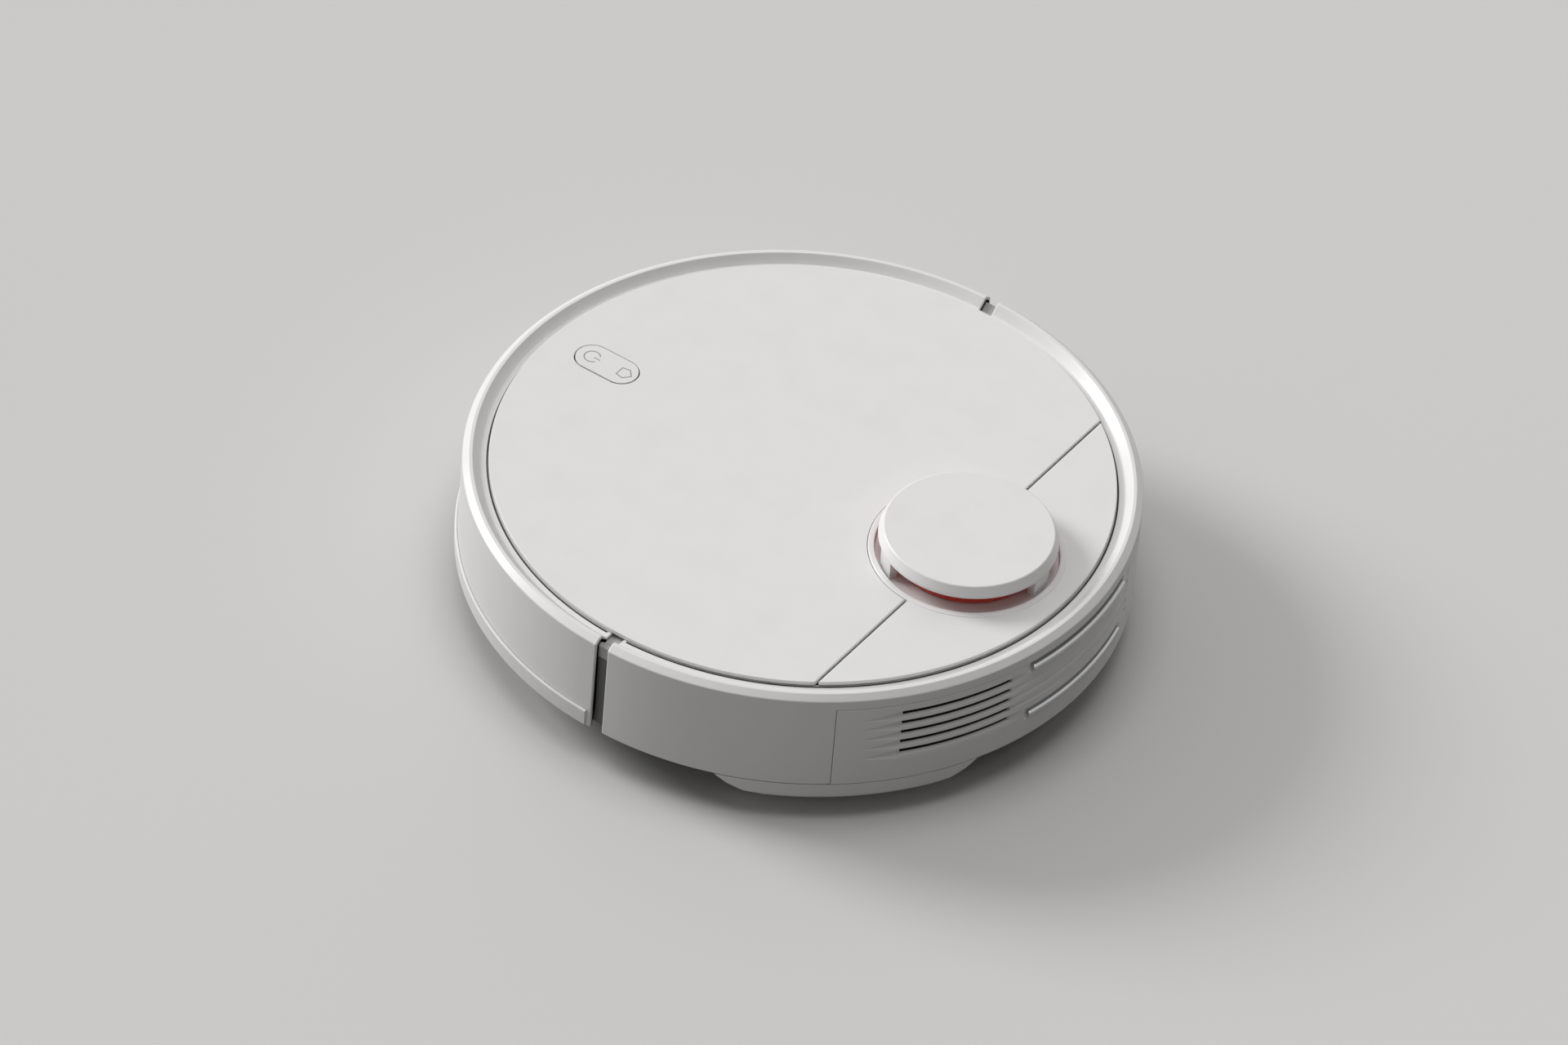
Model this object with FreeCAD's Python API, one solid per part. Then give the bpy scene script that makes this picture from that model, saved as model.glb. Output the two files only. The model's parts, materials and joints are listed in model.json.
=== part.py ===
import FreeCAD, Part
import math
import os

# Round robot vacuum with a laser turret, lift-out dust bin and clip-on mop.
# Millimetres. +X forward, +Y left, +Z up, floor at Z = 0, middle of the round body at X = Y = 0.

# ---- overall body ----
R_STRIP = 175.0          # outside of the soft strip round the bumper, the widest point
R_WALL_LOW = 173.6       # side wall at its lower edge
R_WALL_TOP = 172.7       # side wall where the rim chamfer starts
Z_WALL_LOW = 24.0        # lower edge of the side wall
Z_WALL_TOP = 79.0        # top of the side wall
Z_CREST = 81.5           # crest of the rim
Z_LID = 80.0             # top face of the lid and rear deck
Z_CAP = 94.5             # top of the turret cap
WALL_T = 2.2             # moulded wall thickness
PLATE_T = 2.4            # lid and deck plate thickness
R_LID = 159.2            # edge of the lid
R_CREST_OUT = 169.2      # outer edge of the rim crest
R_CREST_IN = 167.5       # inner edge of the rim crest
R_SLOPE_LOW = 163.2      # foot of the rim's inner slope
Z_LEDGE = 77.2           # top of the ledge that runs in under the lid
LEDGE_T = 1.6            # ledge thickness
R_LEDGE_IN = 158.5       # inner edge of the ledge
X_SEAM = -95.6           # hinge line of the lid, at the cross seam
HINGE_R = 1.5            # rounded rear edge of the lid
LID_PIN_R = 0.7          # pins the lid turns on
LID_PIN_LEN = 10.0
GAP = 0.3                # general clearance between separate pieces
FIT = 0.05               # radial running clearance of pins in bores
BIG = 400.0              # longer than anything on the machine

# ---- bumper ----
BUMPER_TRAVEL = 4.0
X_BUMPER_END = 2.5       # rear end faces of the bumper
X_SHELL_END = -4.5       # front end faces of the rear shell
STRIP_Z0 = 25.0
STRIP_Z1 = 34.5
X_STRIP_END = 5.0
SPRING_Y = 50.0
SPRING_Z = 50.0
SPRING_X0 = 152.0
SPRING_X1 = 161.5
SPRING_R = 3.4
SPRING_WIRE = 0.65       # radius of the bumper spring's wire
SPRING_TURNS = 3
SPRING_BORE = 4.6
LEVER_PIVOT = (159.9, 33.4)
LEVER_TIP = (168.6, 20.0)
LEVER_Z = (39.7, 48.3)
LEVER_T = 1.6
LEVER_PIN_R = 0.95

# ---- chassis tub ----
R_TUB = 165.0
TUB_T = 3.0
Z_BASE = 17.0
FLOOR_T = 3.0
Z_TUB_TOP = 70.0
BEVEL = 6.0
Z_FLOOR = Z_BASE + FLOOR_T
BAY_T = 2.0

# ---- turret ----
TX = -100.0
TY = -1.0
R_RING_OUT = 50.0
R_RING_IN = 46.5
Z_RING = 80.5
R_CAP = 45.5
R_CAP_TOP = 42.5
Z_SLOT_TOP = 88.2
Z_TRAY = 77.5
TRAY_T = 1.5
PILLAR_AZ = (180.0, 57.0, -57.0)
PILLAR_W = 16.0
PILLAR_R_IN = 40.5
R_HEAD = 37.4
Z_HEAD0 = 78.5
Z_HEAD1 = 87.4
R_NECK = 16.0
R_PULLEY = 30.0
Z_PULLEY0 = 66.5
Z_PULLEY1 = 73.7
Z_LDS_PLATE = 62.0
LDS_PLATE_T = 3.0
R_LDS_PLATE = 47.5
SPIGOT_R = 12.0
LDS_MOTOR_DX = 22.0
LDS_MOTOR_DY = -36.0
MOTOR_PULLEY_R = 4.0
BELT_T = 1.2
BELT_W = 2.0

# ---- button ----
BX = 124.0
BY = 0.0
PILL_L = 37.4            # opening in the lid
PILL_W = 19.7
PILL_GAP = 0.5
BUTTON_PIN_R = 0.8
BUTTON_PIN_Z = 76.0

# ---- top frame under the lid ----
R_FRAME = 153.5
FRAME_T = 2.0
FRAME_WALL = 2.5
R_BRIDGE = 170.0
BRIDGE_HALF = 3.4        # half width of the gap bridge in degrees

# ---- dust bin ----
BIN_X0 = -45.5
BIN_X1 = 27.5
BIN_Y = 69.5
BIN_Z0 = 20.3
BIN_Z_COVER = 62.0
BIN_Z1 = 70.0
BIN_T = 2.0
BIN_CLEAR = 1.2
INLET_Y = BIN_Y - 34.5
INLET_Z0 = 31.0
INLET_Z1 = 44.0
AIR_Y0 = BIN_Y - 35.5
AIR_Y1 = BIN_Y - 7.5
AIR_Z0 = 40.0
AIR_Z1 = 54.0

# ---- main brush ----
MB_X = 56.0
MB_Z = 23.5
MB_HALF = 72.0
MB_CORE_R = 8.0
MB_TIP_R = 19.6
MB_WELL_X = 23.0
MB_WELL_Y = 78.0
MB_ROOF = 50.0
MB_ROWS = 3
MB_STEPS = 9

# ---- side brush ----
SB_X = 120.0
SB_Y = -100.0
SB_HUB_R = 9.0
SB_REACH = 50.0
SB_Z = 9.0
SB_ARMS = (-45.0, 75.0, 195.0)

# ---- drive wheels ----
WHEEL_Y = 110.0
WHEEL_R = 34.0
WHEEL_W = 18.0
RIM_R = WHEEL_R - 5.5
AXLE_R = 4.0
ARM_PIVOT_X = -48.0
ARM_PIVOT_Z = 44.0
ARM_Y0 = 82.0
ARM_Y1 = 99.0
ARM_TOP = 58.0
WELL_X0 = -64.0
WELL_X1 = 42.0
WELL_Y0 = 80.0
WELL_Y1 = 123.0
ARM_PIN_R = 2.5
TREADS = 30

# ---- caster ----
CASTER_X = 140.0
CASTER_TRAIL = 6.0
CASTER_R = 12.0
CASTER_W = 14.0
CASTER_CUP_R = 20.5
CASTER_CUP_TOP = 30.0
STEM_R = 3.0

# ---- rear ----
FAN_X = -94.0
FAN_Y = 52.0
FAN_R = 34.0
FAN_Z0 = 21.0
FAN_Z1 = 58.0
BAT_X = (-128.0, -66.0)
BAT_Y = (-70.0, -6.0)
BAT_Z1 = 44.0
PANEL_AZ = 131.0         # left edge of the rear panel
PANEL_TOP = 73.4
LOUVRES = 5
LOUVRE_Z = 67.8
LOUVRE_PITCH = 6.3
LOUVRE_H = 3.2
LOUVRE_AZ = (142.0, 162.5)
CONTACT_AZ = 166.3
CONTACT_Z = (70.4, 39.0)
CONTACT_H = 4.0

# ---- mop ----
MOP_X = -63.0
R_MOP = 158.0
Z_PAD = 5.0
Z_TANK = 16.7
LOBE_AZ = 134.3
LOBE_SHAPE = ((66.0, 23.7), (60.0, 19.5), (52.0, 16.2), (42.0, 14.4))
TANK_T = 1.8

# ---- fixings ----
SCREW_R = 1.5
SCREW_HEAD_R = 3.0
SCREW_HEAD_H = 2.0
SCREW_LEN = 10.0
BASE_SCREWS = ((150.0, 38.0), (150.0, -28.0), (95.0, 118.0), (60.0, 145.0), (60.0, -145.0), (15.0, 148.0),
               (15.0, -148.0), (92.0, 60.0), (92.0, -60.0), (-55.0, 148.0), (-55.0, -148.0),
               (-60.0, 30.0), (-60.0, -2.0))
CLIFF = ((25.0, 150.0), (-20.0, 150.0), (62.0, 148.0), (-59.0, 150.0))

V = FreeCAD.Vector
UP = V(0, 0, 1)
ALONG_X = V(1, 0, 0)
ALONG_Y = V(0, 1, 0)
ORIGIN = V(0, 0, 0)


def box(x0, x1, y0, y1, z0, z1):
    return Part.makeBox(x1 - x0, y1 - y0, z1 - z0, V(x0, y0, z0))


def rod(radius, start, axis, length):
    return Part.makeCylinder(radius, length, V(*start), axis)


def disc(radius, x, y, z0, z1):
    return Part.makeCylinder(radius, z1 - z0, V(x, y, z0), UP)


def ring(outer, inner, x, y, z0, z1):
    return disc(outer, x, y, z0, z1).cut(disc(inner, x, y, z0, z1))


def prism(points, z0, z1):
    wire = Part.makePolygon([V(x, y, z0) for x, y in points] + [V(points[0][0], points[0][1], z0)])
    return Part.Face(wire).extrude(V(0, 0, z1 - z0))


def spin(profile, start=0.0, sweep=360.0, x=0.0, y=0.0):
    """Turn a closed (radius, height) outline about the vertical through x, y."""
    points = [V(r, 0, z) for r, z in profile]
    face = Part.Face(Part.makePolygon(points + [points[0]]))
    solid = face.revolve(ORIGIN, UP, sweep)
    solid.rotate(ORIGIN, UP, start)
    solid.translate(V(x, y, 0))
    return solid


def polar(radius, azimuth, x=0.0, y=0.0):
    angle = math.radians(azimuth)
    return (x + radius * math.cos(angle), y + radius * math.sin(angle))


def slot(length, width, x, y, z0, z1):
    """Full-round slot along X."""
    half = (length - width) / 2
    body = box(x - half, x + half, y - width / 2, y + width / 2, z0, z1)
    ends = [disc(width / 2, x + side * half, y, z0, z1) for side in (-1, 1)]
    return body.multiFuse(ends).removeSplitter()


def other_side(shape):
    """The same piece on the right-hand side."""
    return shape.mirror(ORIGIN, ALONG_Y)


def hollow_box(x0, x1, y0, y1, z0, z1, wall):
    outer = box(x0 - wall, x1 + wall, y0 - wall, y1 + wall, z0, z1)
    return outer.cut(box(x0, x1, y0, y1, z0 - wall, z1 + wall))


def coil(radius, wire, turns, length):
    """Round-wire spring standing on Z = 0, its ends inside the given length."""
    height = length - 2 * wire
    helix = Part.makeHelix(height / turns, height, radius)
    profile = Part.Wire([Part.makeCircle(wire, V(radius, 0, 0), ALONG_Y)])
    spring = Part.Wire(helix.Edges).makePipeShell([profile], True, True)
    spring.translate(V(0, 0, wire))
    return spring


def wall_radius(z):
    share = (z - Z_WALL_LOW) / (Z_WALL_TOP - Z_WALL_LOW)
    return R_WALL_LOW + share * (R_WALL_TOP - R_WALL_LOW)


def skin_profile(z0=Z_WALL_LOW):
    """Section of the side wall, rim and ledge shared by the bumper and the rear shell."""
    inner_low = wall_radius(z0) - WALL_T
    crest_under = Z_CREST - WALL_T
    ledge_under = Z_LEDGE - LEDGE_T
    return [
        (wall_radius(z0), z0),
        (R_WALL_TOP, Z_WALL_TOP),
        (R_CREST_OUT, Z_CREST),
        (R_CREST_IN, Z_CREST),
        (R_SLOPE_LOW, Z_LEDGE),
        (R_LEDGE_IN, Z_LEDGE),
        (R_LEDGE_IN, ledge_under),
        (R_SLOPE_LOW + LEDGE_T / 2, ledge_under),
        (R_CREST_IN + LEDGE_T / 2, crest_under),
        (R_CREST_OUT - LEDGE_T / 2, crest_under),
        (R_WALL_TOP - WALL_T, Z_WALL_TOP - LEDGE_T),
        (inner_low, z0),
    ]


def wall_band(z0, z1, depth, proud=0.0):
    """Section of a curved band that follows the outside of the side wall."""
    return [
        (wall_radius(z0) - depth, z0),
        (wall_radius(z0) + proud, z0),
        (wall_radius(z1) + proud, z1),
        (wall_radius(z1) - depth, z1),
    ]


# ---- chassis and outer skin ----
def screw_seat(x, y):
    boss = disc(SCREW_HEAD_R + 1.5, x, y, Z_FLOOR - 1, Z_FLOOR + SCREW_LEN)
    return boss


def screw_void(x, y):
    head = disc(SCREW_HEAD_R + GAP, x, y, Z_BASE - 1, Z_BASE + SCREW_HEAD_H)
    bore = disc(SCREW_R, x, y, Z_BASE, Z_BASE + SCREW_HEAD_H + SCREW_LEN - 1)
    return head.fuse(bore)


def exhaust_snout(margin):
    """Duct from the fan out to the left-hand louvres; margin shrinks its section."""
    half = 16.0 - margin
    duct = box(FAN_R - 12, 66.0, -half, half, 38.0 + margin, 55.0 - margin)
    duct.rotate(ORIGIN, UP, 154.0)
    duct.translate(V(FAN_X, FAN_Y, 0))
    return duct


def base_chassis():
    inner = R_TUB - TUB_T
    tub = spin([(0, Z_BASE), (R_TUB - BEVEL, Z_BASE), (R_TUB, Z_BASE + BEVEL), (R_TUB, Z_TUB_TOP),
                (inner, Z_TUB_TOP), (inner, Z_FLOOR + BEVEL), (inner - BEVEL, Z_FLOOR), (0, Z_FLOOR)])
    post = wall_radius(Z_WALL_LOW) - WALL_T - 2 * GAP - 1
    add = []
    for side in (-1, 1):
        add.append(spin([(inner, Z_BASE + BEVEL), (post, Z_BASE + BEVEL + 3), (post, Z_TUB_TOP),
                         (inner, Z_TUB_TOP)], side * 91.0 - 3.0, 6.0))
        ys = sorted((side * WELL_Y0, side * WELL_Y1))
        add.append(hollow_box(WELL_X0, WELL_X1, ys[0], ys[1], Z_FLOOR - 1, Z_TUB_TOP, BAY_T))
        boss_y = side * SPRING_Y
        add.append(box(SPRING_X0 - 3, SPRING_X0 + 5, boss_y - 6, boss_y + 6, SPRING_Z - 6, SPRING_Z + 6))
    add.append(disc(CASTER_CUP_R + BAY_T, CASTER_X, 0, Z_FLOOR - 1, CASTER_CUP_TOP + BAY_T))
    add.append(disc(STEM_R + BAY_T, CASTER_X, 0, CASTER_CUP_TOP, CASTER_CUP_TOP + 8))
    for x, y in BASE_SCREWS:
        add.append(screw_seat(x, y))
    for x, y in ((96.0, 48.0), (96.0, -48.0), (140.0, 40.0), (140.0, -40.0)):
        add.append(disc(3.5, x, y, Z_FLOOR - 1, 56.0))
    add.append(disc(4.0, TX - 44, TY, Z_FLOOR - 1, Z_LDS_PLATE))
    add.append(disc(3.0, TX + 44, TY, Z_FLOOR - 1, Z_LDS_PLATE))
    solid = tub.multiFuse(add)
    cut = []
    for side in (-1, 1):
        ys = sorted((side * WELL_Y0, side * WELL_Y1))
        cut.append(box(WELL_X0, WELL_X1, ys[0], ys[1], Z_BASE - 1, Z_TUB_TOP + 1))
        pin_y = min(side * (WELL_Y0 - BAY_T), side * (WELL_Y1 + BAY_T))
        cut.append(rod(ARM_PIN_R, (ARM_PIVOT_X, pin_y, ARM_PIVOT_Z), ALONG_Y, WELL_Y1 - WELL_Y0 + 2 * BAY_T))
        cut.append(rod(SPRING_BORE, (SPRING_X0, side * SPRING_Y, SPRING_Z), ALONG_X, 20.0))
        lever_y = sorted((side * (LEVER_TIP[1] - 6), side * (LEVER_PIVOT[1] + 4)))
        cut.append(box(150.0, 170.0, lever_y[0], lever_y[1], LEVER_Z[0] - GAP, LEVER_Z[1] + GAP))
        cut.append(disc(LEVER_PIN_R + FIT, LEVER_PIVOT[0], side * LEVER_PIVOT[1], LEVER_Z[0] - 4,
                        LEVER_Z[1] + 4))
    cut.append(brush_well())
    cut.append(disc(CASTER_CUP_R, CASTER_X, 0, Z_BASE - 1, CASTER_CUP_TOP))
    cut.append(disc(STEM_R + FIT, CASTER_X, 0, CASTER_CUP_TOP - 1, CASTER_CUP_TOP + 6))
    cut.append(disc(SB_HUB_R - 3, SB_X, SB_Y, Z_BASE - 1, Z_FLOOR + 1))
    cut.append(box(BAT_X[0] - 1, BAT_X[1] + 1, BAT_Y[0] - 1, BAT_Y[1] + 1, Z_BASE - 1, Z_FLOOR + 1))
    for side in (1, -1):
        cut.append(spin([(R_TUB - 2 * TUB_T, 40.0), (R_TUB + 1, 40.0), (R_TUB + 1, PANEL_TOP - 4),
                         (R_TUB - 2 * TUB_T, PANEL_TOP - 4)], side * 152.2 - 10.0, 20.0))
    for azimuth, radius in CLIFF:
        cut.append(cliff_window(azimuth, radius, GAP / 3))
    for x, y in BASE_SCREWS:
        cut.append(screw_void(x, y))
    for side in (-1, 1):
        for x in (-58.0, 36.0):
            cut.append(disc(SCREW_R, x, side * 90.0, Z_TUB_TOP, Z_TUB_TOP + 1))
    solid = solid.cut(Part.makeCompound(cut))
    return solid.removeSplitter()


def brush_well():
    return box(MB_X - MB_WELL_X, MB_X + MB_WELL_X, -MB_WELL_Y, MB_WELL_Y, Z_BASE - 1, MB_ROOF)


def bay_liner():
    """Open-topped bay for the dust bin in one moulding with the hood over the main brush."""
    front = BIN_X1 + BIN_CLEAR
    bay = hollow_box(BIN_X0 - BIN_CLEAR, front, -BIN_Y - BIN_CLEAR, BIN_Y + BIN_CLEAR, Z_FLOOR, Z_TUB_TOP, BAY_T)
    hood = box(front, MB_X + MB_WELL_X + BAY_T, -MB_WELL_Y - BAY_T, MB_WELL_Y + BAY_T, Z_FLOOR, MB_ROOF + BAY_T)
    inlet = box(BIN_X1, MB_X - MB_WELL_X + 1, -INLET_Y, INLET_Y, INLET_Z0, INLET_Z1)
    outlet = box(BIN_X0 - BIN_CLEAR - 2 * BAY_T, BIN_X0, AIR_Y0, AIR_Y1, AIR_Z0, AIR_Z1)
    wells = [box(WELL_X0 - BAY_T, WELL_X1 + BAY_T, y, y + WELL_Y1 - WELL_Y0 + 2 * BAY_T, Z_FLOOR, Z_TUB_TOP)
             for y in (WELL_Y0 - BAY_T, -WELL_Y1 - BAY_T)]
    liner = bay.fuse(hood).cut(Part.makeCompound([brush_well(), inlet, outlet] + wells))
    return liner.removeSplitter()


def cliff_window(azimuth, radius, margin=0.0):
    window = box(radius - 5 - margin, radius + 5 + margin, -9 - margin, 9 + margin, Z_BASE + 0.4, Z_BASE + 2)
    if margin:
        window = window.fuse(box(radius - 5 - margin, radius + 5 + margin, -9 - margin, 9 + margin,
                                 Z_BASE - 1, Z_BASE + 1))
    window.rotate(ORIGIN, UP, azimuth)
    return window


def cliff_windows():
    return Part.makeCompound([cliff_window(a, r) for a, r in CLIFF])


def rear_shell():
    solid = spin(skin_profile(), 90.0, 180.0)
    solid = solid.common(box(-BIG, X_SHELL_END, -BIG, BIG, 0, BIG))
    window = spin([(150.0, Z_WALL_LOW - 1), (R_STRIP + 5, Z_WALL_LOW - 1), (R_STRIP + 5, PANEL_TOP + GAP),
                   (150.0, PANEL_TOP + GAP)], PANEL_AZ - 0.1, 360 - 2 * PANEL_AZ + 0.2)
    ribs = []
    for azimuth in (100.0, 124.0, 236.0, 260.0):
        rib = box(R_TUB, R_WALL_TOP - WALL_T / 2, -1.0, 1.0, Z_WALL_LOW + 4, 68.0)
        rib.rotate(ORIGIN, UP, azimuth)
        ribs.append(rib)
    return solid.cut(window).multiFuse(ribs).removeSplitter()


def rear_panel():
    sweep = 360 - 2 * PANEL_AZ
    solid = spin(wall_band(Z_WALL_LOW, PANEL_TOP, WALL_T), PANEL_AZ, sweep)
    lip = spin(wall_band(PANEL_TOP - 1.2, PANEL_TOP, R_WALL_TOP - R_TUB, -WALL_T + 0.5), PANEL_AZ + 10, sweep - 20)
    foot = spin(wall_band(Z_WALL_LOW + 2, Z_WALL_LOW + 4, R_WALL_TOP - R_TUB + 0.6, -WALL_T + 0.5),
                PANEL_AZ + 10, sweep - 20)
    solid = solid.multiFuse([lip, foot])
    tub = spin([(0, 0), (R_TUB, 0), (R_TUB, BIG), (0, BIG)])
    solid = solid.cut(tub)
    cuts = []
    for side in (1, -1):
        centre = side * sum(LOUVRE_AZ) / 2
        width = LOUVRE_AZ[1] - LOUVRE_AZ[0]
        for i in range(LOUVRES):
            z = LOUVRE_Z - i * LOUVRE_PITCH
            cuts.append(spin([(168.5, z - LOUVRE_H / 2 + 1), (R_STRIP, z - LOUVRE_H / 2 - 0.6),
                              (R_STRIP, z + LOUVRE_H / 2 - 0.6), (168.5, z + LOUVRE_H / 2 + 1)],
                             centre - width / 2, width))
    for z in CONTACT_Z:
        cuts.append(contact_band(z, 0.0))
    return solid.cut(Part.makeCompound(cuts)).removeSplitter()


def contact_band(z, margin):
    half = CONTACT_H / 2 - margin
    trim = 0.0
    if margin:
        trim = 0.2
    sweep = 360 - 2 * CONTACT_AZ - 2 * trim
    return spin([(R_WALL_TOP - WALL_T - 1, z - half), (R_STRIP, z - half), (R_STRIP, z + half),
                 (R_WALL_TOP - WALL_T - 1, z + half)], CONTACT_AZ + trim, sweep)


def charging_contacts():
    return Part.makeCompound([contact_band(z, 0.2) for z in CONTACT_Z])


def vent_mesh():
    sheets = []
    for side in (1, -1):
        sheets.append(spin([(R_TUB + 0.05, 38.0), (R_TUB + 1.6, 38.0), (R_TUB + 1.6, PANEL_TOP - 2),
                            (R_TUB + 0.05, PANEL_TOP - 2)], side * 152.2 - 11.5, 23.0))
    return Part.makeCompound(sheets)


def rear_deck():
    z0 = Z_LID - PLATE_T
    plate = disc(R_LID, 0, 0, z0, Z_LID).common(box(-BIG, X_SEAM - HINGE_R - GAP, -BIG, BIG, 0, BIG))
    rib = spin([(R_LEDGE_IN + 0.1, Z_LEDGE), (R_LID, Z_LEDGE), (R_LID, z0 + 0.5), (R_LEDGE_IN + 0.1, z0 + 0.5)],
               130.0, 100.0)
    collar = disc(R_RING_OUT, TX, TY, z0 - 3.5, Z_RING)
    solid = plate.multiFuse([rib, collar]).cut(disc(R_RING_IN, TX, TY, 0, BIG))
    feet = []
    for azimuth in (136.0, 160.0, 200.0, 224.0):
        x, y = polar(R_FRAME - 6, azimuth)
        feet.append(disc(4.0, x, y, Z_TUB_TOP + FRAME_T, z0 + 0.5))
    solid = solid.multiFuse(feet)
    bores = []
    for side in (1, -1):
        y = TY + side * (R_RING_OUT + 3)
        bores.append(rod(0.7, (X_SEAM, y - 8, Z_LID - HINGE_R), ALONG_Y, 16.0))
    return solid.cut(Part.makeCompound(bores)).removeSplitter()


def top_frame():
    z0 = Z_TUB_TOP
    plate = disc(R_FRAME + 8, 0, 0, z0, z0 + FRAME_T)
    wall = ring(R_FRAME, R_FRAME - FRAME_WALL, 0, 0, z0 + FRAME_T - 0.5, Z_LID - PLATE_T - GAP)
    wall = wall.common(box(X_SEAM + 4, BIG, -BIG, BIG, 0, BIG))
    bridges = []
    under = Z_LEDGE - LEDGE_T - GAP
    for side in (-1, 1):
        bridges.append(spin([(R_FRAME - 3, z0), (R_BRIDGE, z0), (R_BRIDGE, 77.0), (R_CREST_OUT - 0.6, 78.4),
                             (R_SLOPE_LOW + 1.7, under), (R_FRAME - 3, under)],
                            side * 90.6 - BRIDGE_HALF, 2 * BRIDGE_HALF))
    solid = plate.multiFuse([wall] + bridges)
    ears = []
    for side in (-1, 1):
        inner = PILL_W / 2 + 0.6
        ys = sorted((BY + side * inner, BY + side * (inner + 2.4)))
        ears.append(box(BX - 3, BX + 3, ys[0], ys[1], z0 + FRAME_T - 0.5, Z_LID - PLATE_T - GAP))
    collar = hollow_box(BIN_X0 - BIN_CLEAR, BIN_X1 + BIN_CLEAR, -BIN_Y - BIN_CLEAR, BIN_Y + BIN_CLEAR,
                        z0, z0 + FRAME_T + 1.5, BAY_T)
    solid = solid.multiFuse(ears + [collar])
    cuts = [box(BIN_X0 - BIN_CLEAR, BIN_X1 + BIN_CLEAR, -BIN_Y - BIN_CLEAR, BIN_Y + BIN_CLEAR, 0, BIG)]
    cuts.append(disc(R_RING_OUT + GAP + 0.5, TX, TY, 0, BIG))
    pin_y = BY - PILL_W / 2 - 4
    cuts.append(rod(BUTTON_PIN_R + FIT, (BX, pin_y, BUTTON_PIN_Z), ALONG_Y, PILL_W + 8))
    cuts.append(box(-BIG, BIN_X0 - BIN_CLEAR, -20.0, 20.0, 0, BIG).common(disc(60.0, TX, TY, 0, BIG)))
    return solid.cut(Part.makeCompound(cuts)).removeSplitter()


# ---- laser turret ----
def turret_tray():
    tray = ring(R_RING_IN - GAP / 2, R_NECK + 1, TX, TY, Z_TRAY - TRAY_T, Z_TRAY)
    posts = []
    for azimuth in (0.0, 120.0, 210.0):
        x, y = polar(R_RING_IN - 4, azimuth, TX, TY)
        posts.append(disc(2.5, x, y, Z_LDS_PLATE + LDS_PLATE_T, Z_TRAY - TRAY_T + 0.5))
    return tray.multiFuse(posts).removeSplitter()


def turret_cap():
    crown = spin([(0, Z_SLOT_TOP), (R_CAP, Z_SLOT_TOP), (R_CAP, Z_CAP - 3.5), (R_CAP - 0.8, Z_CAP - 1.8),
                  (R_CAP_TOP, Z_CAP), (0, Z_CAP)], x=TX, y=TY)
    pillars = []
    for azimuth in PILLAR_AZ:
        pillars.append(spin([(PILLAR_R_IN, Z_TRAY), (R_CAP - 0.6, Z_TRAY), (R_CAP - 0.2, Z_SLOT_TOP + 1),
                             (PILLAR_R_IN, Z_SLOT_TOP + 1)], azimuth - PILLAR_W / 2, PILLAR_W, TX, TY))
    hollow = disc(PILLAR_R_IN, TX, TY, Z_SLOT_TOP - 1, Z_CAP - 2.5)
    return crown.cut(hollow).multiFuse(pillars).removeSplitter()


def lds_base():
    plate = disc(R_LDS_PLATE, TX, TY, Z_LDS_PLATE, Z_LDS_PLATE + LDS_PLATE_T)
    spigot = disc(SPIGOT_R, TX, TY, Z_LDS_PLATE, Z_PULLEY1 + 2)
    solid = plate.fuse(spigot).cut(disc(SPIGOT_R - 3, TX, TY, 0, BIG))
    solid = solid.cut(disc(3.0, TX + LDS_MOTOR_DX, TY + LDS_MOTOR_DY, 0, BIG))
    return solid.removeSplitter()


def lds_head():
    bore = SPIGOT_R + FIT
    solid = spin([(bore, Z_PULLEY0), (R_PULLEY, Z_PULLEY0), (R_PULLEY, Z_PULLEY0 + 1.4),
                  (R_PULLEY - 1, Z_PULLEY0 + 1.4), (R_PULLEY - 1, Z_PULLEY1 - 1.4),
                  (R_PULLEY, Z_PULLEY1 - 1.4), (R_PULLEY, Z_PULLEY1), (R_NECK, Z_PULLEY1), (R_NECK, Z_HEAD0),
                  (R_HEAD, Z_HEAD0), (R_HEAD, Z_HEAD1), (0, Z_HEAD1), (0, Z_HEAD1 - 3), (bore, Z_HEAD1 - 3)],
                 x=TX, y=TY)
    return solid.cut(Part.makeCompound(lens_list(0.0))).removeSplitter()


def lens_list(margin):
    lenses = []
    z = (Z_HEAD0 + Z_HEAD1) / 2
    for offset, radius in ((-11.0, 2.8), (9.0, 3.4)):
        lens = rod(radius - margin, (24.0, offset, z), ALONG_X, 11.6)
        lens.rotate(ORIGIN, UP, 118.0)
        lens.translate(V(TX, TY, 0))
        lenses.append(lens)
    return lenses


def lds_lenses():
    return Part.makeCompound(lens_list(0.1))


def lds_motor():
    x = TX + LDS_MOTOR_DX
    y = TY + LDS_MOTOR_DY
    can = disc(8.0, x, y, Z_LDS_PLATE - 15, Z_LDS_PLATE)
    shaft = disc(1.0, x, y, Z_LDS_PLATE - 1, Z_PULLEY1 + 0.5)
    return can.fuse(shaft).removeSplitter()


def lds_pulley():
    x = TX + LDS_MOTOR_DX
    y = TY + LDS_MOTOR_DY
    solid = spin([(1.0 + FIT, Z_PULLEY0), (MOTOR_PULLEY_R, Z_PULLEY0), (MOTOR_PULLEY_R, Z_PULLEY0 + 1.2),
                  (MOTOR_PULLEY_R - 1, Z_PULLEY0 + 1.4), (MOTOR_PULLEY_R - 1, Z_PULLEY1 - 1.4),
                  (MOTOR_PULLEY_R, Z_PULLEY1 - 1.2), (MOTOR_PULLEY_R, Z_PULLEY1), (1.0 + FIT, Z_PULLEY1)],
                 x=x, y=y)
    return solid


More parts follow.
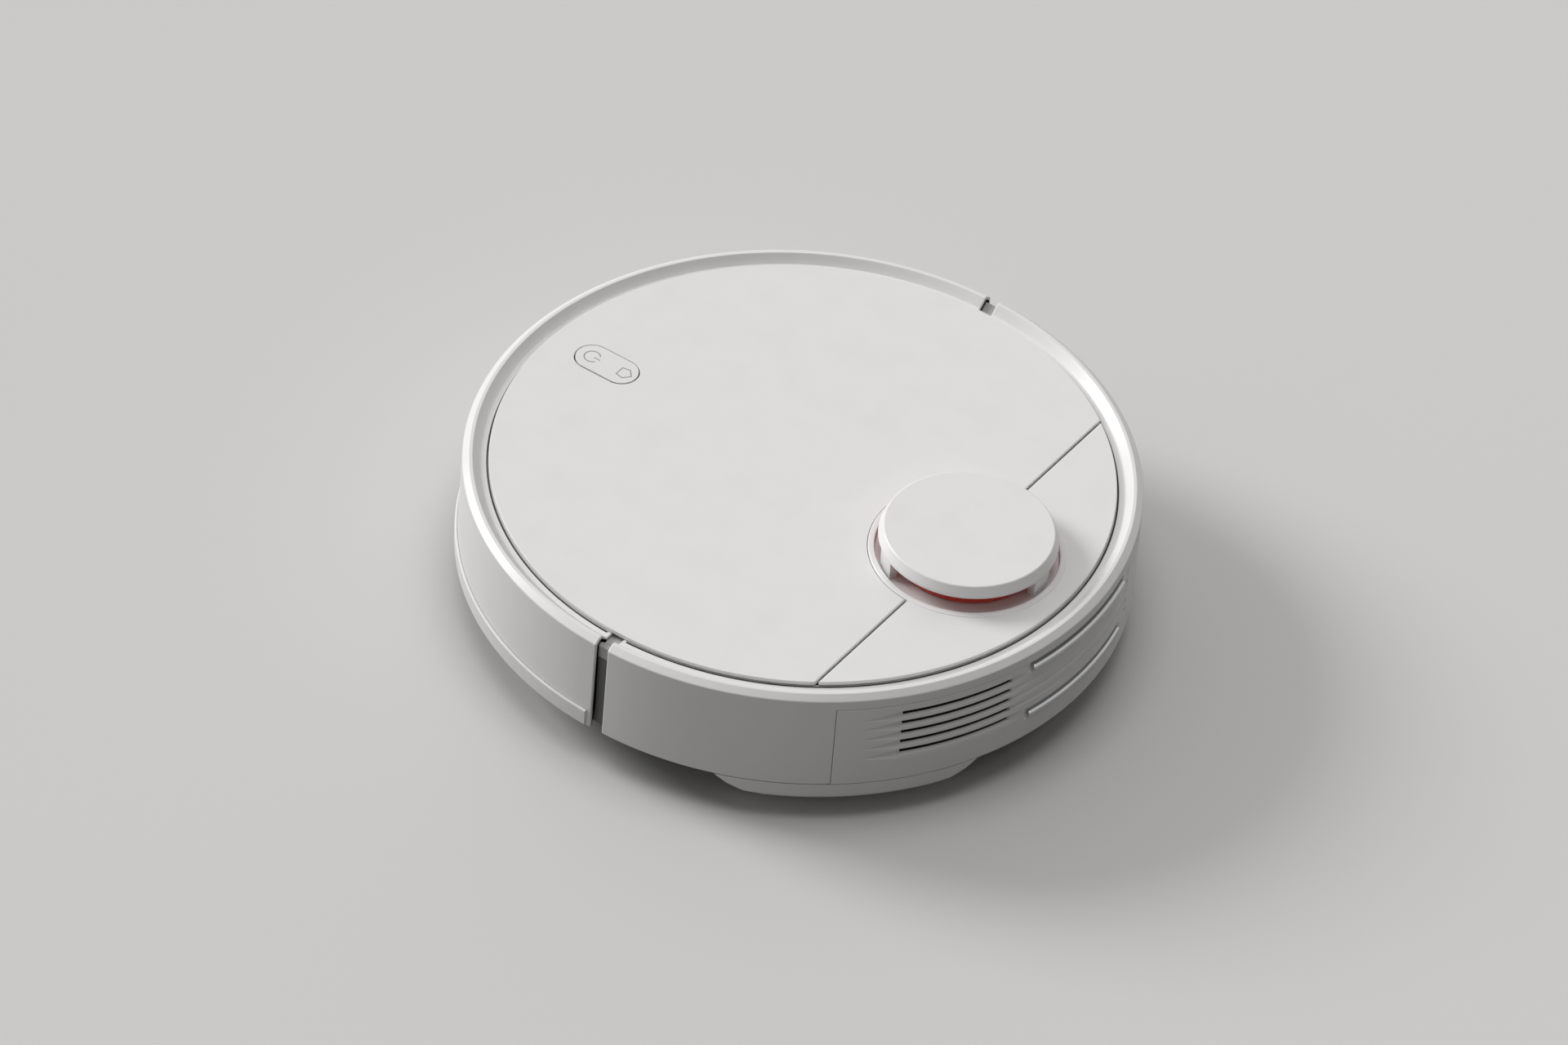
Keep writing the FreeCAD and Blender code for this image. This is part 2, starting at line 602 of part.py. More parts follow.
def belt_outline(extra, z0, z1):
    """Solid filled by a belt loop round both pulleys."""
    big = R_PULLEY - 1 + FIT + extra
    small = MOTOR_PULLEY_R - 1 + FIT + extra
    span = math.hypot(LDS_MOTOR_DX, LDS_MOTOR_DY)
    lean = math.acos((big - small) / span)
    heading = math.atan2(LDS_MOTOR_DY, LDS_MOTOR_DX)
    points = []
    for radius, away, order in ((big, 0.0, (1, -1)), (small, span, (-1, 1))):
        for sign in order:
            angle = heading + sign * lean
            points.append((TX + away * math.cos(heading) + radius * math.cos(angle),
                           TY + away * math.sin(heading) + radius * math.sin(angle)))
    web = prism(points, z0, z1)
    small_x = TX + LDS_MOTOR_DX
    small_y = TY + LDS_MOTOR_DY
    return web.multiFuse([disc(big, TX, TY, z0, z1), disc(small, small_x, small_y, z0, z1)])


def lds_belt():
    z = (Z_PULLEY0 + Z_PULLEY1) / 2
    outer = belt_outline(BELT_T, z - BELT_W / 2, z + BELT_W / 2)
    return outer.cut(belt_outline(0.0, z - BELT_W / 2, z + BELT_W / 2)).removeSplitter()


# ---- electronics ----
def main_board():
    z = 56.0
    board = prism([(90.0, -62.0), (128.0, -62.0), (148.0, -40.0), (148.0, 40.0), (128.0, 62.0), (90.0, 62.0)],
                  z, z + 1.6)
    chips = []
    for x, y, w, d, h in ((112.0, 10.0, 14.0, 14.0, 1.6), (112.0, -16.0, 11.0, 9.0, 1.4),
                          (96.0, -40.0, 8.0, 16.0, 8.0), (96.0, 30.0, 8.0, 24.0, 8.0),
                          (136.0, 20.0, 8.0, 18.0, 6.0), (132.0, -26.0, 12.0, 12.0, 3.0)):
        chips.append(box(x - w / 2, x + w / 2, y - d / 2, y + d / 2, z + 1.0, z + 1.6 + h))
    for x, y in ((124.0, 45.0), (112.0, 48.0), (120.0, -46.0)):
        chips.append(disc(4.0, x, y, z + 1.0, z + 9.0))
    return board.multiFuse(chips).removeSplitter()


def button_board():
    z = Z_TUB_TOP + FRAME_T
    board = box(BX - 16, BX + 16, BY - 7, BY + 7, z, z + 1.6)
    switches = [box(BX + dx - 2.5, BX + dx + 2.5, BY - 2.5, BY + 2.5, z + 1, z + 2.8) for dx in (-11.0, 11.0)]
    return board.multiFuse(switches).removeSplitter()


def button_cap():
    length = PILL_L - 2 * PILL_GAP
    width = PILL_W - 2 * PILL_GAP
    low = 75.2
    cap = slot(length, width, BX, BY, low, Z_LID + 0.1)
    cap = cap.cut(slot(length - 2.4, width - 2.4, BX, BY, low - 1, Z_LID - 1.7))
    plungers = [disc(1.5, BX + dx, BY, 75.8, Z_LID - 1) for dx in (-11.0, 11.0)]
    pins = []
    for side in (-1, 1):
        y = BY + side * (width / 2 - 1)
        if side < 0:
            y -= 2.6
        pins.append(rod(BUTTON_PIN_R, (BX, y, BUTTON_PIN_Z), ALONG_Y, 2.6))
    return cap.multiFuse(plungers + pins).removeSplitter()


def battery():
    return box(BAT_X[0], BAT_X[1], BAT_Y[0], BAT_Y[1], Z_FLOOR + 0.1, BAT_Z1)


def battery_cover():
    plate = box(BAT_X[0] - 0.7, BAT_X[1] + 0.7, BAT_Y[0] - 0.7, BAT_Y[1] + 0.7, Z_BASE + 0.2, Z_FLOOR + 0.1)
    return plate


def fan_housing():
    body = disc(FAN_R, FAN_X, FAN_Y, FAN_Z0 - 1, FAN_Z1)
    intake = box(FAN_X, BIN_X0 - BIN_CLEAR - BAY_T - GAP, AIR_Y0 - 2, AIR_Y1 + 2, AIR_Z0 - 2, AIR_Z1 + 2)
    boss = disc(5.0, FAN_X - 2, FAN_Y - 14, FAN_Z1 - 1, Z_LDS_PLATE)
    solid = body.multiFuse([intake, exhaust_snout(0.0), boss])
    cuts = [disc(FAN_R - 2, FAN_X, FAN_Y, 37.0, FAN_Z1 - 2)]
    cuts.append(disc(17.0, FAN_X, FAN_Y, FAN_Z0 + 1, 38.0))
    cuts.append(box(FAN_X + 20, BIG, AIR_Y0, AIR_Y1, AIR_Z0, AIR_Z1))
    cuts.append(exhaust_snout(1.8))
    cuts.append(spin([(R_TUB - TUB_T - GAP, 0), (BIG, 0), (BIG, BIG), (R_TUB - TUB_T - GAP, BIG)]))
    return solid.cut(Part.makeCompound(cuts)).removeSplitter()


def fan_motor():
    can = disc(16.9, FAN_X, FAN_Y, FAN_Z0 + 1, 37.0)
    return can.fuse(disc(1.5, FAN_X, FAN_Y, 36.0, 52.0)).removeSplitter()


def fan_impeller():
    hub = ring(6.0, 1.5 + FIT, FAN_X, FAN_Y, 38.0, 53.0)
    plate = ring(30.0, 1.5 + FIT, FAN_X, FAN_Y, 38.0, 39.2)
    blades = []
    for i in range(9):
        blade = box(4.5, 29.5, -0.6, 0.6, 38.5, 52.0)
        blade.rotate(V(4.5, 0, 0), UP, 30.0)
        blade = blade.common(disc(30.0, 0, 0, 0, BIG))
        blade.rotate(ORIGIN, UP, i * 40.0)
        blade.translate(V(FAN_X, FAN_Y, 0))
        blades.append(blade)
    return hub.multiFuse([plate] + blades).removeSplitter()


# ---- dust bin ----
def bin_shell():
    outer = box(BIN_X0, BIN_X1, -BIN_Y, BIN_Y, BIN_Z0, BIN_Z_COVER)
    inner = box(BIN_X0 + BIN_T, BIN_X1 - BIN_T, -BIN_Y + BIN_T, BIN_Y - BIN_T, BIN_Z0 + BIN_T, BIN_Z_COVER + 1)
    inlet = box(BIN_X1 - BIN_T - 1, BIN_X1 + 1, -INLET_Y, INLET_Y, INLET_Z0, INLET_Z1)
    outlet = box(BIN_X0 - 1, BIN_X0 + BIN_T + 1, AIR_Y0, AIR_Y1, AIR_Z0, AIR_Z1)
    solid = outer.cut(inner).cut(inlet).cut(outlet)
    rails = [box(BIN_X0 + BIN_T - 0.5, BIN_X0 + 14, y, y + 1.5, AIR_Z0 - 6, BIN_Z_COVER)
             for y in (AIR_Y0 - 4.5, AIR_Y1 + 3)]
    return solid.multiFuse(rails).removeSplitter()


def bin_cover():
    plate = box(BIN_X0, BIN_X1, -BIN_Y, BIN_Y, BIN_Z_COVER, BIN_Z_COVER + 4)
    lip = box(BIN_X0 + BIN_T + 0.2, BIN_X1 - BIN_T - 0.2, -BIN_Y + BIN_T + 0.2, AIR_Y0 - 5, BIN_Z_COVER - 2,
              BIN_Z_COVER + 1)
    grip = box(-24.0, 6.0, -26.0, 26.0, BIN_Z_COVER + 3, BIN_Z1)
    grip = grip.cut(box(-19.0, 1.0, -21.0, 21.0, BIN_Z_COVER + 4, BIG))
    return plate.multiFuse([lip, grip]).removeSplitter()


def bin_filter():
    x0 = BIN_X0 + BIN_T
    frame = box(x0, x0 + 10, AIR_Y0 - 3, AIR_Y1 + 3, AIR_Z0 - 4, AIR_Z1 + 4)
    frame = frame.cut(box(x0 + 1.5, x0 + 11, AIR_Y0, AIR_Y1, AIR_Z0, AIR_Z1))
    pleats = [box(x0 + 0.2, x0 + 9, AIR_Y0 + 1 + 3.0 * i, AIR_Y0 + 2.2 + 3.0 * i, AIR_Z0 - 0.5, AIR_Z1 + 0.5)
              for i in range(9)]
    return frame.multiFuse(pleats).removeSplitter()


def bin_flap():
    x1 = BIN_X1 - BIN_T - GAP
    leaf = box(x1 - 1.2, x1, -INLET_Y - 2, INLET_Y + 2, INLET_Z0 - 2, INLET_Z1 + 1.5)
    return leaf.fuse(rod(1.4, (x1 - 1.4, -INLET_Y - 2, INLET_Z1 + 2.2), ALONG_Y, 2 * INLET_Y + 4)).removeSplitter()


# ---- main brush ----
def twisted_strip(start_angle, thickness, root, tip, reach):
    """Strip standing on the brush core and wound a third of a turn from the middle outwards."""
    sections = []
    for i in range(MB_STEPS):
        share = i / (MB_STEPS - 1)
        y = -reach + 2 * reach * share
        turn = start_angle + 70.0 * abs(2 * share - 1)
        corners = []
        for r, t in ((root, -thickness / 2), (tip, -thickness / 2), (tip, thickness / 2), (root, thickness / 2)):
            a = math.radians(turn)
            corners.append(V(MB_X + r * math.cos(a) - t * math.sin(a), y, MB_Z + r * math.sin(a) + t * math.cos(a)))
        sections.append(Part.makePolygon(corners + [corners[0]]))
    return Part.makeLoft(sections, True, True)


def main_brush_core():
    core = rod(MB_CORE_R, (MB_X, -MB_HALF, MB_Z), ALONG_Y, 2 * MB_HALF)
    ends = rod(3.0, (MB_X, -MB_HALF - 4.5, MB_Z), ALONG_Y, 2 * MB_HALF + 9)
    return core.fuse(ends).removeSplitter()


def main_brush_blades():
    core = rod(MB_CORE_R, (MB_X, -MB_HALF, MB_Z), ALONG_Y, 2 * MB_HALF)
    strips = [twisted_strip(i * 120.0, 1.8, MB_CORE_R - 1.5, MB_TIP_R - 0.6, MB_HALF - 1).cut(core)
              for i in range(MB_ROWS)]
    return Part.makeCompound(strips)


def main_brush_bristles():
    core = rod(MB_CORE_R, (MB_X, -MB_HALF, MB_Z), ALONG_Y, 2 * MB_HALF)
    strips = [twisted_strip(60.0 + i * 120.0, 2.6, MB_CORE_R - 1.5, MB_TIP_R, MB_HALF - 1).cut(core)
              for i in range(MB_ROWS)]
    return Part.makeCompound(strips)


def brush_bearings():
    cups = []
    for side in (-1, 1):
        y0 = min(side * (MB_HALF + 0.5), side * MB_WELL_Y)
        cup = rod(6.3, (MB_X, y0, MB_Z), ALONG_Y, MB_WELL_Y - MB_HALF - 0.5)
        foot = box(MB_X - 7, MB_X + 7, y0, y0 + MB_WELL_Y - MB_HALF - 0.5, MB_Z, MB_ROOF)
        bore_y = min(side * (MB_HALF - 1), side * (MB_HALF + 5))
        cups.append(cup.fuse(foot).cut(rod(3.0 + FIT, (MB_X, bore_y, MB_Z), ALONG_Y, 6.0)).removeSplitter())
    return Part.makeCompound(cups)


def brush_guard():
    z1 = Z_BASE
    outer = box(MB_X - MB_WELL_X - 6, MB_X + MB_WELL_X + 6, -MB_WELL_Y - 8, MB_WELL_Y + 8, z1 - 2.5, z1)
    outer = outer.makeFillet(4.0, [e for e in outer.Edges if abs(e.Vertexes[0].Z - e.Vertexes[1].Z) > 1])
    inner = box(MB_X - MB_WELL_X + 1, MB_X + MB_WELL_X - 1, -MB_WELL_Y + 5, MB_WELL_Y - 5, 0, BIG)
    return outer.cut(inner).removeSplitter()


def brush_gearbox():
    y0 = MB_WELL_Y + BAY_T
    body = box(MB_X - 8, MB_X + 20, y0, y0 + 14, Z_FLOOR, 48.0)
    motor = rod(9.0, (MB_X + 8, y0 + 13, 38.0), ALONG_Y, 26.0)
    return body.fuse(motor).removeSplitter()


# ---- side brush ----
def side_brush_hub():
    hub = spin([(0, SB_Z), (SB_HUB_R - 2, SB_Z), (SB_HUB_R, SB_Z + 2), (SB_HUB_R, Z_BASE - 0.6), (0, Z_BASE - 0.6)],
               x=SB_X, y=SB_Y)
    roots = []
    for azimuth in SB_ARMS:
        root = box(SB_HUB_R - 3, SB_HUB_R + 7, -2.6, 2.6, SB_Z, SB_Z + 3.2)
        root.rotate(ORIGIN, UP, azimuth)
        root.translate(V(SB_X, SB_Y, 0))
        roots.append(root)
    socket = disc(2.5 + FIT, SB_X, SB_Y, SB_Z + 3, BIG)
    return hub.multiFuse(roots).cut(socket).removeSplitter()


def side_brush_bristles():
    tufts = []
    for azimuth in SB_ARMS:
        start = SB_HUB_R + 7
        top = SB_Z + 2.6
        low = SB_Z + 0.4
        points = [V(start, -1.6, low), V(start, 1.6, low), V(start, 1.6, top), V(start, -1.6, top)]
        tip = [V(SB_REACH, -3.0, 1.4), V(SB_REACH, 3.0, 1.4), V(SB_REACH, 3.0, 2.6), V(SB_REACH, -3.0, 2.6)]
        tuft = Part.makeLoft([Part.makePolygon(points + [points[0]]), Part.makePolygon(tip + [tip[0]])], True, True)
        tuft.rotate(ORIGIN, UP, azimuth)
        tuft.translate(V(SB_X, SB_Y, 0))
        tufts.append(tuft)
    return Part.makeCompound(tufts)


def side_brush_gearbox():
    body = disc(14.0, SB_X, SB_Y, Z_FLOOR, 40.0)
    wall = R_TUB - TUB_T - GAP
    body = body.common(spin([(0, Z_FLOOR), (wall - BEVEL, Z_FLOOR), (wall, Z_FLOOR + BEVEL), (wall, BIG), (0, BIG)]))
    shaft = disc(2.5, SB_X, SB_Y, SB_Z + 4, Z_FLOOR + 1)
    motor = rod(8.0, (SB_X - 4, SB_Y + 6, 31.0), V(-1, 0.4, 0), 24.0)
    return body.multiFuse([shaft, motor]).removeSplitter()


# ---- drive wheels ----
def wheel_arm():
    body = box(-30.0, 18.0, ARM_Y0, ARM_Y1, 26.0, ARM_TOP)
    tail = box(ARM_PIVOT_X, -20.0, ARM_Y0, ARM_Y1, ARM_PIVOT_Z - 8, ARM_PIVOT_Z + 8)
    eye = rod(8.0, (ARM_PIVOT_X, ARM_Y0, ARM_PIVOT_Z), ALONG_Y, ARM_Y1 - ARM_Y0)
    axle = rod(AXLE_R, (0, ARM_Y1 - 1, WHEEL_R), ALONG_Y, WHEEL_Y + WHEEL_W / 2 - ARM_Y1 - 2)
    solid = body.multiFuse([tail, eye, axle])
    solid = solid.cut(rod(ARM_PIN_R + FIT, (ARM_PIVOT_X, ARM_Y0 - 1, ARM_PIVOT_Z), ALONG_Y, 20.0))
    return solid.removeSplitter()


def tyre():
    y0 = WHEEL_Y - WHEEL_W / 2
    solid = rod(WHEEL_R, (0, y0, WHEEL_R), ALONG_Y, WHEEL_W).cut(rod(RIM_R, (0, y0, WHEEL_R), ALONG_Y, WHEEL_W))
    grooves = []
    for i in range(TREADS):
        groove = box(WHEEL_R - 1.6, WHEEL_R + 1, y0 - 1, y0 + WHEEL_W + 1, -1.1, 1.1)
        groove.rotate(ORIGIN, ALONG_Y, 90.0 + 180.0 / TREADS + i * 360.0 / TREADS)
        groove.translate(V(0, 0, WHEEL_R))
        grooves.append(groove)
    return solid.cut(Part.makeCompound(grooves)).removeSplitter()


def wheel_hub():
    y0 = WHEEL_Y - WHEEL_W / 2
    disc_y = y0 + 1.2
    solid = rod(RIM_R, (0, disc_y, WHEEL_R), ALONG_Y, WHEEL_W - 2.4)
    solid = solid.cut(rod(RIM_R - 3, (0, disc_y + WHEEL_W - 6, WHEEL_R), ALONG_Y, WHEEL_W))
    solid = solid.cut(rod(AXLE_R + FIT, (0, y0 - 1, WHEEL_R), ALONG_Y, WHEEL_W - 3))
    spokes = []
    for i in range(6):
        a = math.radians(60.0 * i)
        reach = RIM_R - 11.5
        spokes.append(rod(4.5, (reach * math.cos(a), disc_y + 5, WHEEL_R + reach * math.sin(a)), ALONG_Y, WHEEL_W))
    return solid.cut(Part.makeCompound(spokes)).removeSplitter()


def wheel_spring():
    spring = coil(5.0, 0.7, 4, Z_TUB_TOP - ARM_TOP)
    spring.translate(V(-12.0, (ARM_Y0 + ARM_Y1) / 2, ARM_TOP))
    return spring


def hinge_pins():
    """Steel pins that the two wheel arms and the lid turn on."""
    pins = []
    for side in (-1, 1):
        arm_y = min(side * (WELL_Y0 - BAY_T), side * (WELL_Y1 + BAY_T))
        pins.append(rod(ARM_PIN_R, (ARM_PIVOT_X, arm_y, ARM_PIVOT_Z), ALONG_Y, WELL_Y1 - WELL_Y0 + 2 * BAY_T))
        lid_y = TY + side * (R_RING_OUT + 3) - LID_PIN_LEN / 2
        pins.append(rod(LID_PIN_R, (X_SEAM, lid_y, Z_LID - HINGE_R), ALONG_Y, LID_PIN_LEN))
    return Part.makeCompound(pins)


# ---- caster ----
def caster_fork():
    z1 = CASTER_CUP_TOP - GAP
    half = CASTER_W / 2 + 0.6
    dome = spin([(0, Z_BASE), (16.0, Z_BASE), (CASTER_CUP_R - 1, Z_BASE + 4), (CASTER_CUP_R - 1, z1), (0, z1)],
                x=CASTER_X)
    stem = disc(STEM_R, CASTER_X, 0, z1 - 1, CASTER_CUP_TOP + 5.5)
    x = CASTER_X - CASTER_TRAIL
    cheeks = []
    for side in (-1, 1):
        y0 = min(side * half, side * (half + 2.6))
        cheeks.append(rod(5.0, (x, y0, CASTER_R), ALONG_Y, 2.6))
        cheeks.append(box(x - 5, x + 5, y0, y0 + 2.6, CASTER_R, Z_BASE + 3))
    solid = dome.multiFuse(cheeks + [stem])
    solid = solid.cut(rod(CASTER_R + 0.8, (x, -half, CASTER_R), ALONG_Y, 2 * half))
    return solid.cut(rod(1.5, (x, -half - 2.0, CASTER_R), ALONG_Y, 2 * half + 4)).removeSplitter()


def caster_axle():
    half = CASTER_W / 2 + 2.6
    return rod(1.5, (CASTER_X - CASTER_TRAIL, -half, CASTER_R), ALONG_Y, 2 * half)


def caster_wheel():
    x = CASTER_X - CASTER_TRAIL
    y = CASTER_W / 2
    solid = rod(CASTER_R, (x, -y, CASTER_R), ALONG_Y, CASTER_W)
    rims = [e for e in solid.Edges if e.Curve.TypeId == "Part::GeomCircle"]
    solid = solid.makeFillet(2.5, rims)
    return solid.cut(rod(1.5 + FIT, (x, -y - 1, CASTER_R), ALONG_Y, CASTER_W + 2))


# ---- bumper ----
def bumper_shell():
    solid = spin(skin_profile(), -90.0, 180.0)
    solid = solid.common(box(X_BUMPER_END, BIG, -BIG, BIG, 0, BIG))
    seats = []
    for side in (-1, 1):
        y = side * SPRING_Y
        seats.append(rod(SPRING_BORE - 0.5, (SPRING_X1, y, SPRING_Z), ALONG_X, 6.0))
    inside = spin([(0, 0), (wall_radius(SPRING_Z) - 0.5, 0), (wall_radius(SPRING_Z) - 0.5, BIG), (0, BIG)])
    return solid.multiFuse([seat.common(inside) for seat in seats]).removeSplitter()


def bumper_strip():
    section = [(wall_radius(STRIP_Z0) + FIT, STRIP_Z0), (R_STRIP - 0.6, STRIP_Z0), (R_STRIP, STRIP_Z0 + 1.5),
               (R_STRIP, STRIP_Z1 - 1.5), (R_STRIP - 0.6, STRIP_Z1), (wall_radius(STRIP_Z1) + FIT, STRIP_Z1)]
    strip = spin(section, -90.0, 180.0)
    return strip.common(box(X_STRIP_END, BIG, -BIG, BIG, 0, BIG))


def bumper_springs():
    springs = []
    for side in (-1, 1):
        spring = coil(SPRING_R, SPRING_WIRE, SPRING_TURNS, SPRING_X1 - SPRING_X0)
        spring.rotate(ORIGIN, ALONG_Y, 90.0)
        spring.translate(V(SPRING_X0, side * SPRING_Y, SPRING_Z))
        springs.append(spring)
    return Part.makeCompound(springs)


def bumper_lever():
    dx = LEVER_TIP[0] - LEVER_PIVOT[0]
    dy = LEVER_TIP[1] - LEVER_PIVOT[1]
    length = math.hypot(dx, dy)
    nx = -dy / length * LEVER_T / 2
    ny = dx / length * LEVER_T / 2
    corners = [(LEVER_PIVOT[0] + nx, LEVER_PIVOT[1] + ny), (LEVER_TIP[0] + nx, LEVER_TIP[1] + ny),
               (LEVER_TIP[0] - nx, LEVER_TIP[1] - ny), (LEVER_PIVOT[0] - nx, LEVER_PIVOT[1] - ny)]
    bar = prism(corners, LEVER_Z[0], LEVER_Z[1])
    eye = disc(2.2, LEVER_PIVOT[0], LEVER_PIVOT[1], LEVER_Z[0], LEVER_Z[1])
    pin = disc(LEVER_PIN_R, LEVER_PIVOT[0], LEVER_PIVOT[1], LEVER_Z[0] - 3, LEVER_Z[1] + 3)
    return bar.multiFuse([eye, pin]).removeSplitter()


# ---- lid ----
def lid():
    z0 = Z_LID - PLATE_T
    plate = disc(R_LID, 0, 0, z0, Z_LID).common(box(X_SEAM, BIG, -BIG, BIG, 0, BIG))
    axis_z = Z_LID - HINGE_R
    half = math.sqrt((R_LID - HINGE_R) ** 2 - X_SEAM ** 2) - 1
    edge = rod(HINGE_R, (X_SEAM, -half, axis_z), ALONG_Y, 2 * half)
    rib = ring(R_FRAME - FRAME_WALL - 1, R_FRAME - FRAME_WALL - 3, 0, 0, z0 - 2.5, z0 + 0.5)
    rib = rib.common(box(X_SEAM + 8, BIG, -BIG, BIG, 0, BIG))
    solid = plate.multiFuse([edge, rib])
    cuts = [disc(R_RING_OUT + GAP, TX, TY, 0, BIG)]
    cuts.append(slot(PILL_L, PILL_W, BX, BY, 0, BIG))
    for side in (-1, 1):
        y = TY + side * (R_RING_OUT + 5)
        cuts.append(rod(0.7 + FIT, (X_SEAM, y - 6, axis_z), ALONG_Y, 12.0))
    return solid.cut(Part.makeCompound(cuts)).removeSplitter()


# ---- mop ----
def mop_outline(radius, x1, z0, z1):
    return disc(radius, 0, 0, z0, z1).common(box(-BIG, x1, -BIG, BIG, 0, BIG))


def lobe():
    """Side skirt of the mop tank, flush with the side wall above it."""
    section = [(R_MOP - 8, LOBE_SHAPE[-1][1]), (wall_radius(Z_WALL_LOW) - 1.2, LOBE_SHAPE[-1][1]),
               (wall_radius(Z_WALL_LOW), LOBE_SHAPE[-1][1] + 2), (wall_radius(Z_WALL_LOW), Z_WALL_LOW - GAP),
               (R_TUB + 1, Z_WALL_LOW - GAP), (R_TUB + 1, Z_TANK), (R_MOP - 8, Z_TANK)]
    skirt = spin(section, LOBE_AZ - 26, 52.0)
    outline = [(t, z) for t, z in LOBE_SHAPE] + [(-t, z) for t, z in reversed(LOBE_SHAPE)]
    points = [V(100.0, t, z) for t, z in outline]
    tall = [V(100.0, -LOBE_SHAPE[0][0], Z_WALL_LOW), V(100.0, LOBE_SHAPE[0][0], Z_WALL_LOW)]
    face = Part.Face(Part.makePolygon(points + tall + [points[0]]))
    window = face.extrude(V(100.0, 0, 0))
    window.rotate(ORIGIN, UP, LOBE_AZ)
    return skirt.common(window)


def mop_tank():
    body = mop_outline(R_MOP, MOP_X, Z_PAD, Z_TANK)
    left = lobe().common(box(-BIG, MOP_X, -BIG, BIG, 0, BIG))
    solid = body.multiFuse([left, other_side(left)])
    hollow = mop_outline(R_MOP - 12, MOP_X - TANK_T - 4, Z_PAD + TANK_T, Z_TANK - TANK_T)
    hollow = hollow.cut(box(-120.0, 0, -6.0, 6.0, 0, BIG))
    solid = solid.cut(hollow)
    filler = disc(7.0, -80.0, 100.0, Z_TANK - TANK_T - 1, Z_TANK + 1)
    return solid.cut(filler).removeSplitter()


def tank_plug():
    cap = disc(7.0, -80.0, 100.0, Z_TANK - TANK_T, Z_TANK)
    stem = disc(5.0, -80.0, 100.0, Z_TANK - TANK_T - 3, Z_TANK)
    return cap.fuse(stem).removeSplitter()


def mop_pad():
    return mop_outline(R_MOP - 6, MOP_X - 6, 0.0, Z_PAD)


# ---- fixings ----
def base_screws():
    screws = []
    for x, y in BASE_SCREWS:
        head = disc(SCREW_HEAD_R, x, y, Z_BASE + 0.2, Z_BASE + SCREW_HEAD_H)
        head = head.cut(box(x - 2, x + 2, y - 0.4, y + 0.4, Z_BASE, Z_BASE + 1))
        head = head.cut(box(x - 0.4, x + 0.4, y - 2, y + 2, Z_BASE, Z_BASE + 1))
        shank = disc(SCREW_R, x, y, Z_BASE + SCREW_HEAD_H, Z_BASE + SCREW_HEAD_H + SCREW_LEN - 1.5)
        screws.append(head.fuse(shank).removeSplitter())
    return Part.makeCompound(screws)


PIECES = {
    "base_chassis": base_chassis,
    "bay_liner": bay_liner,
    "rear_shell": rear_shell,
    "rear_panel": rear_panel,
    "charging_contacts": charging_contacts,
    "vent_mesh": vent_mesh,
    "rear_deck": rear_deck,
    "top_frame": top_frame,
    "turret_tray": turret_tray,
    "turret_cap": turret_cap,
    "lds_base": lds_base,
    "lds_head": lds_head,
    "lds_lenses": lds_lenses,
    "lds_motor": lds_motor,
    "lds_pulley": lds_pulley,
    "lds_belt": lds_belt,
    "main_board": main_board,
    "button_board": button_board,
    "button_cap": button_cap,
    "battery": battery,
    "battery_cover": battery_cover,
    "fan_housing": fan_housing,
    "fan_motor": fan_motor,
    "fan_impeller": fan_impeller,
    "bin_shell": bin_shell,
    "bin_cover": bin_cover,
    "bin_filter": bin_filter,
    "bin_flap": bin_flap,
    "main_brush_core": main_brush_core,
    "main_brush_blades": main_brush_blades,
    "main_brush_bristles": main_brush_bristles,
    "brush_bearings": brush_bearings,
    "brush_guard": brush_guard,
    "brush_gearbox": brush_gearbox,
    "side_brush_hub": side_brush_hub,
    "side_brush_bristles": side_brush_bristles,
    "side_brush_gearbox": side_brush_gearbox,
    "hinge_pins": hinge_pins,
    "caster_fork": caster_fork,
    "caster_axle": caster_axle,
    "caster_wheel": caster_wheel,
    "bumper_shell": bumper_shell,
    "bumper_strip": bumper_strip,
    "bumper_springs": bumper_springs,
    "lid": lid,
    "mop_tank": mop_tank,
    "tank_plug": tank_plug,
    "mop_pad": mop_pad,
    "cliff_windows": cliff_windows,
    "base_screws": base_screws,
}

# Pieces fitted once on the left and once, mirrored, on the right.
PAIRED = {
    "wheel_arm": wheel_arm,
    "tyre": tyre,
    "wheel_hub": wheel_hub,
    "wheel_spring": wheel_spring,
    "bumper_lever": bumper_lever,
}

os.makedirs("parts", exist_ok=True)
for name, make in PIECES.items():
    make().exportStep("parts/" + name + ".step")
for name, make in PAIRED.items():
    piece = make()
    piece.exportStep("parts/" + name + "_left.step")
    other_side(piece).exportStep("parts/" + name + "_right.step")
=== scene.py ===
import bmesh
import bpy
import json
import math
from mathutils import Matrix, Vector


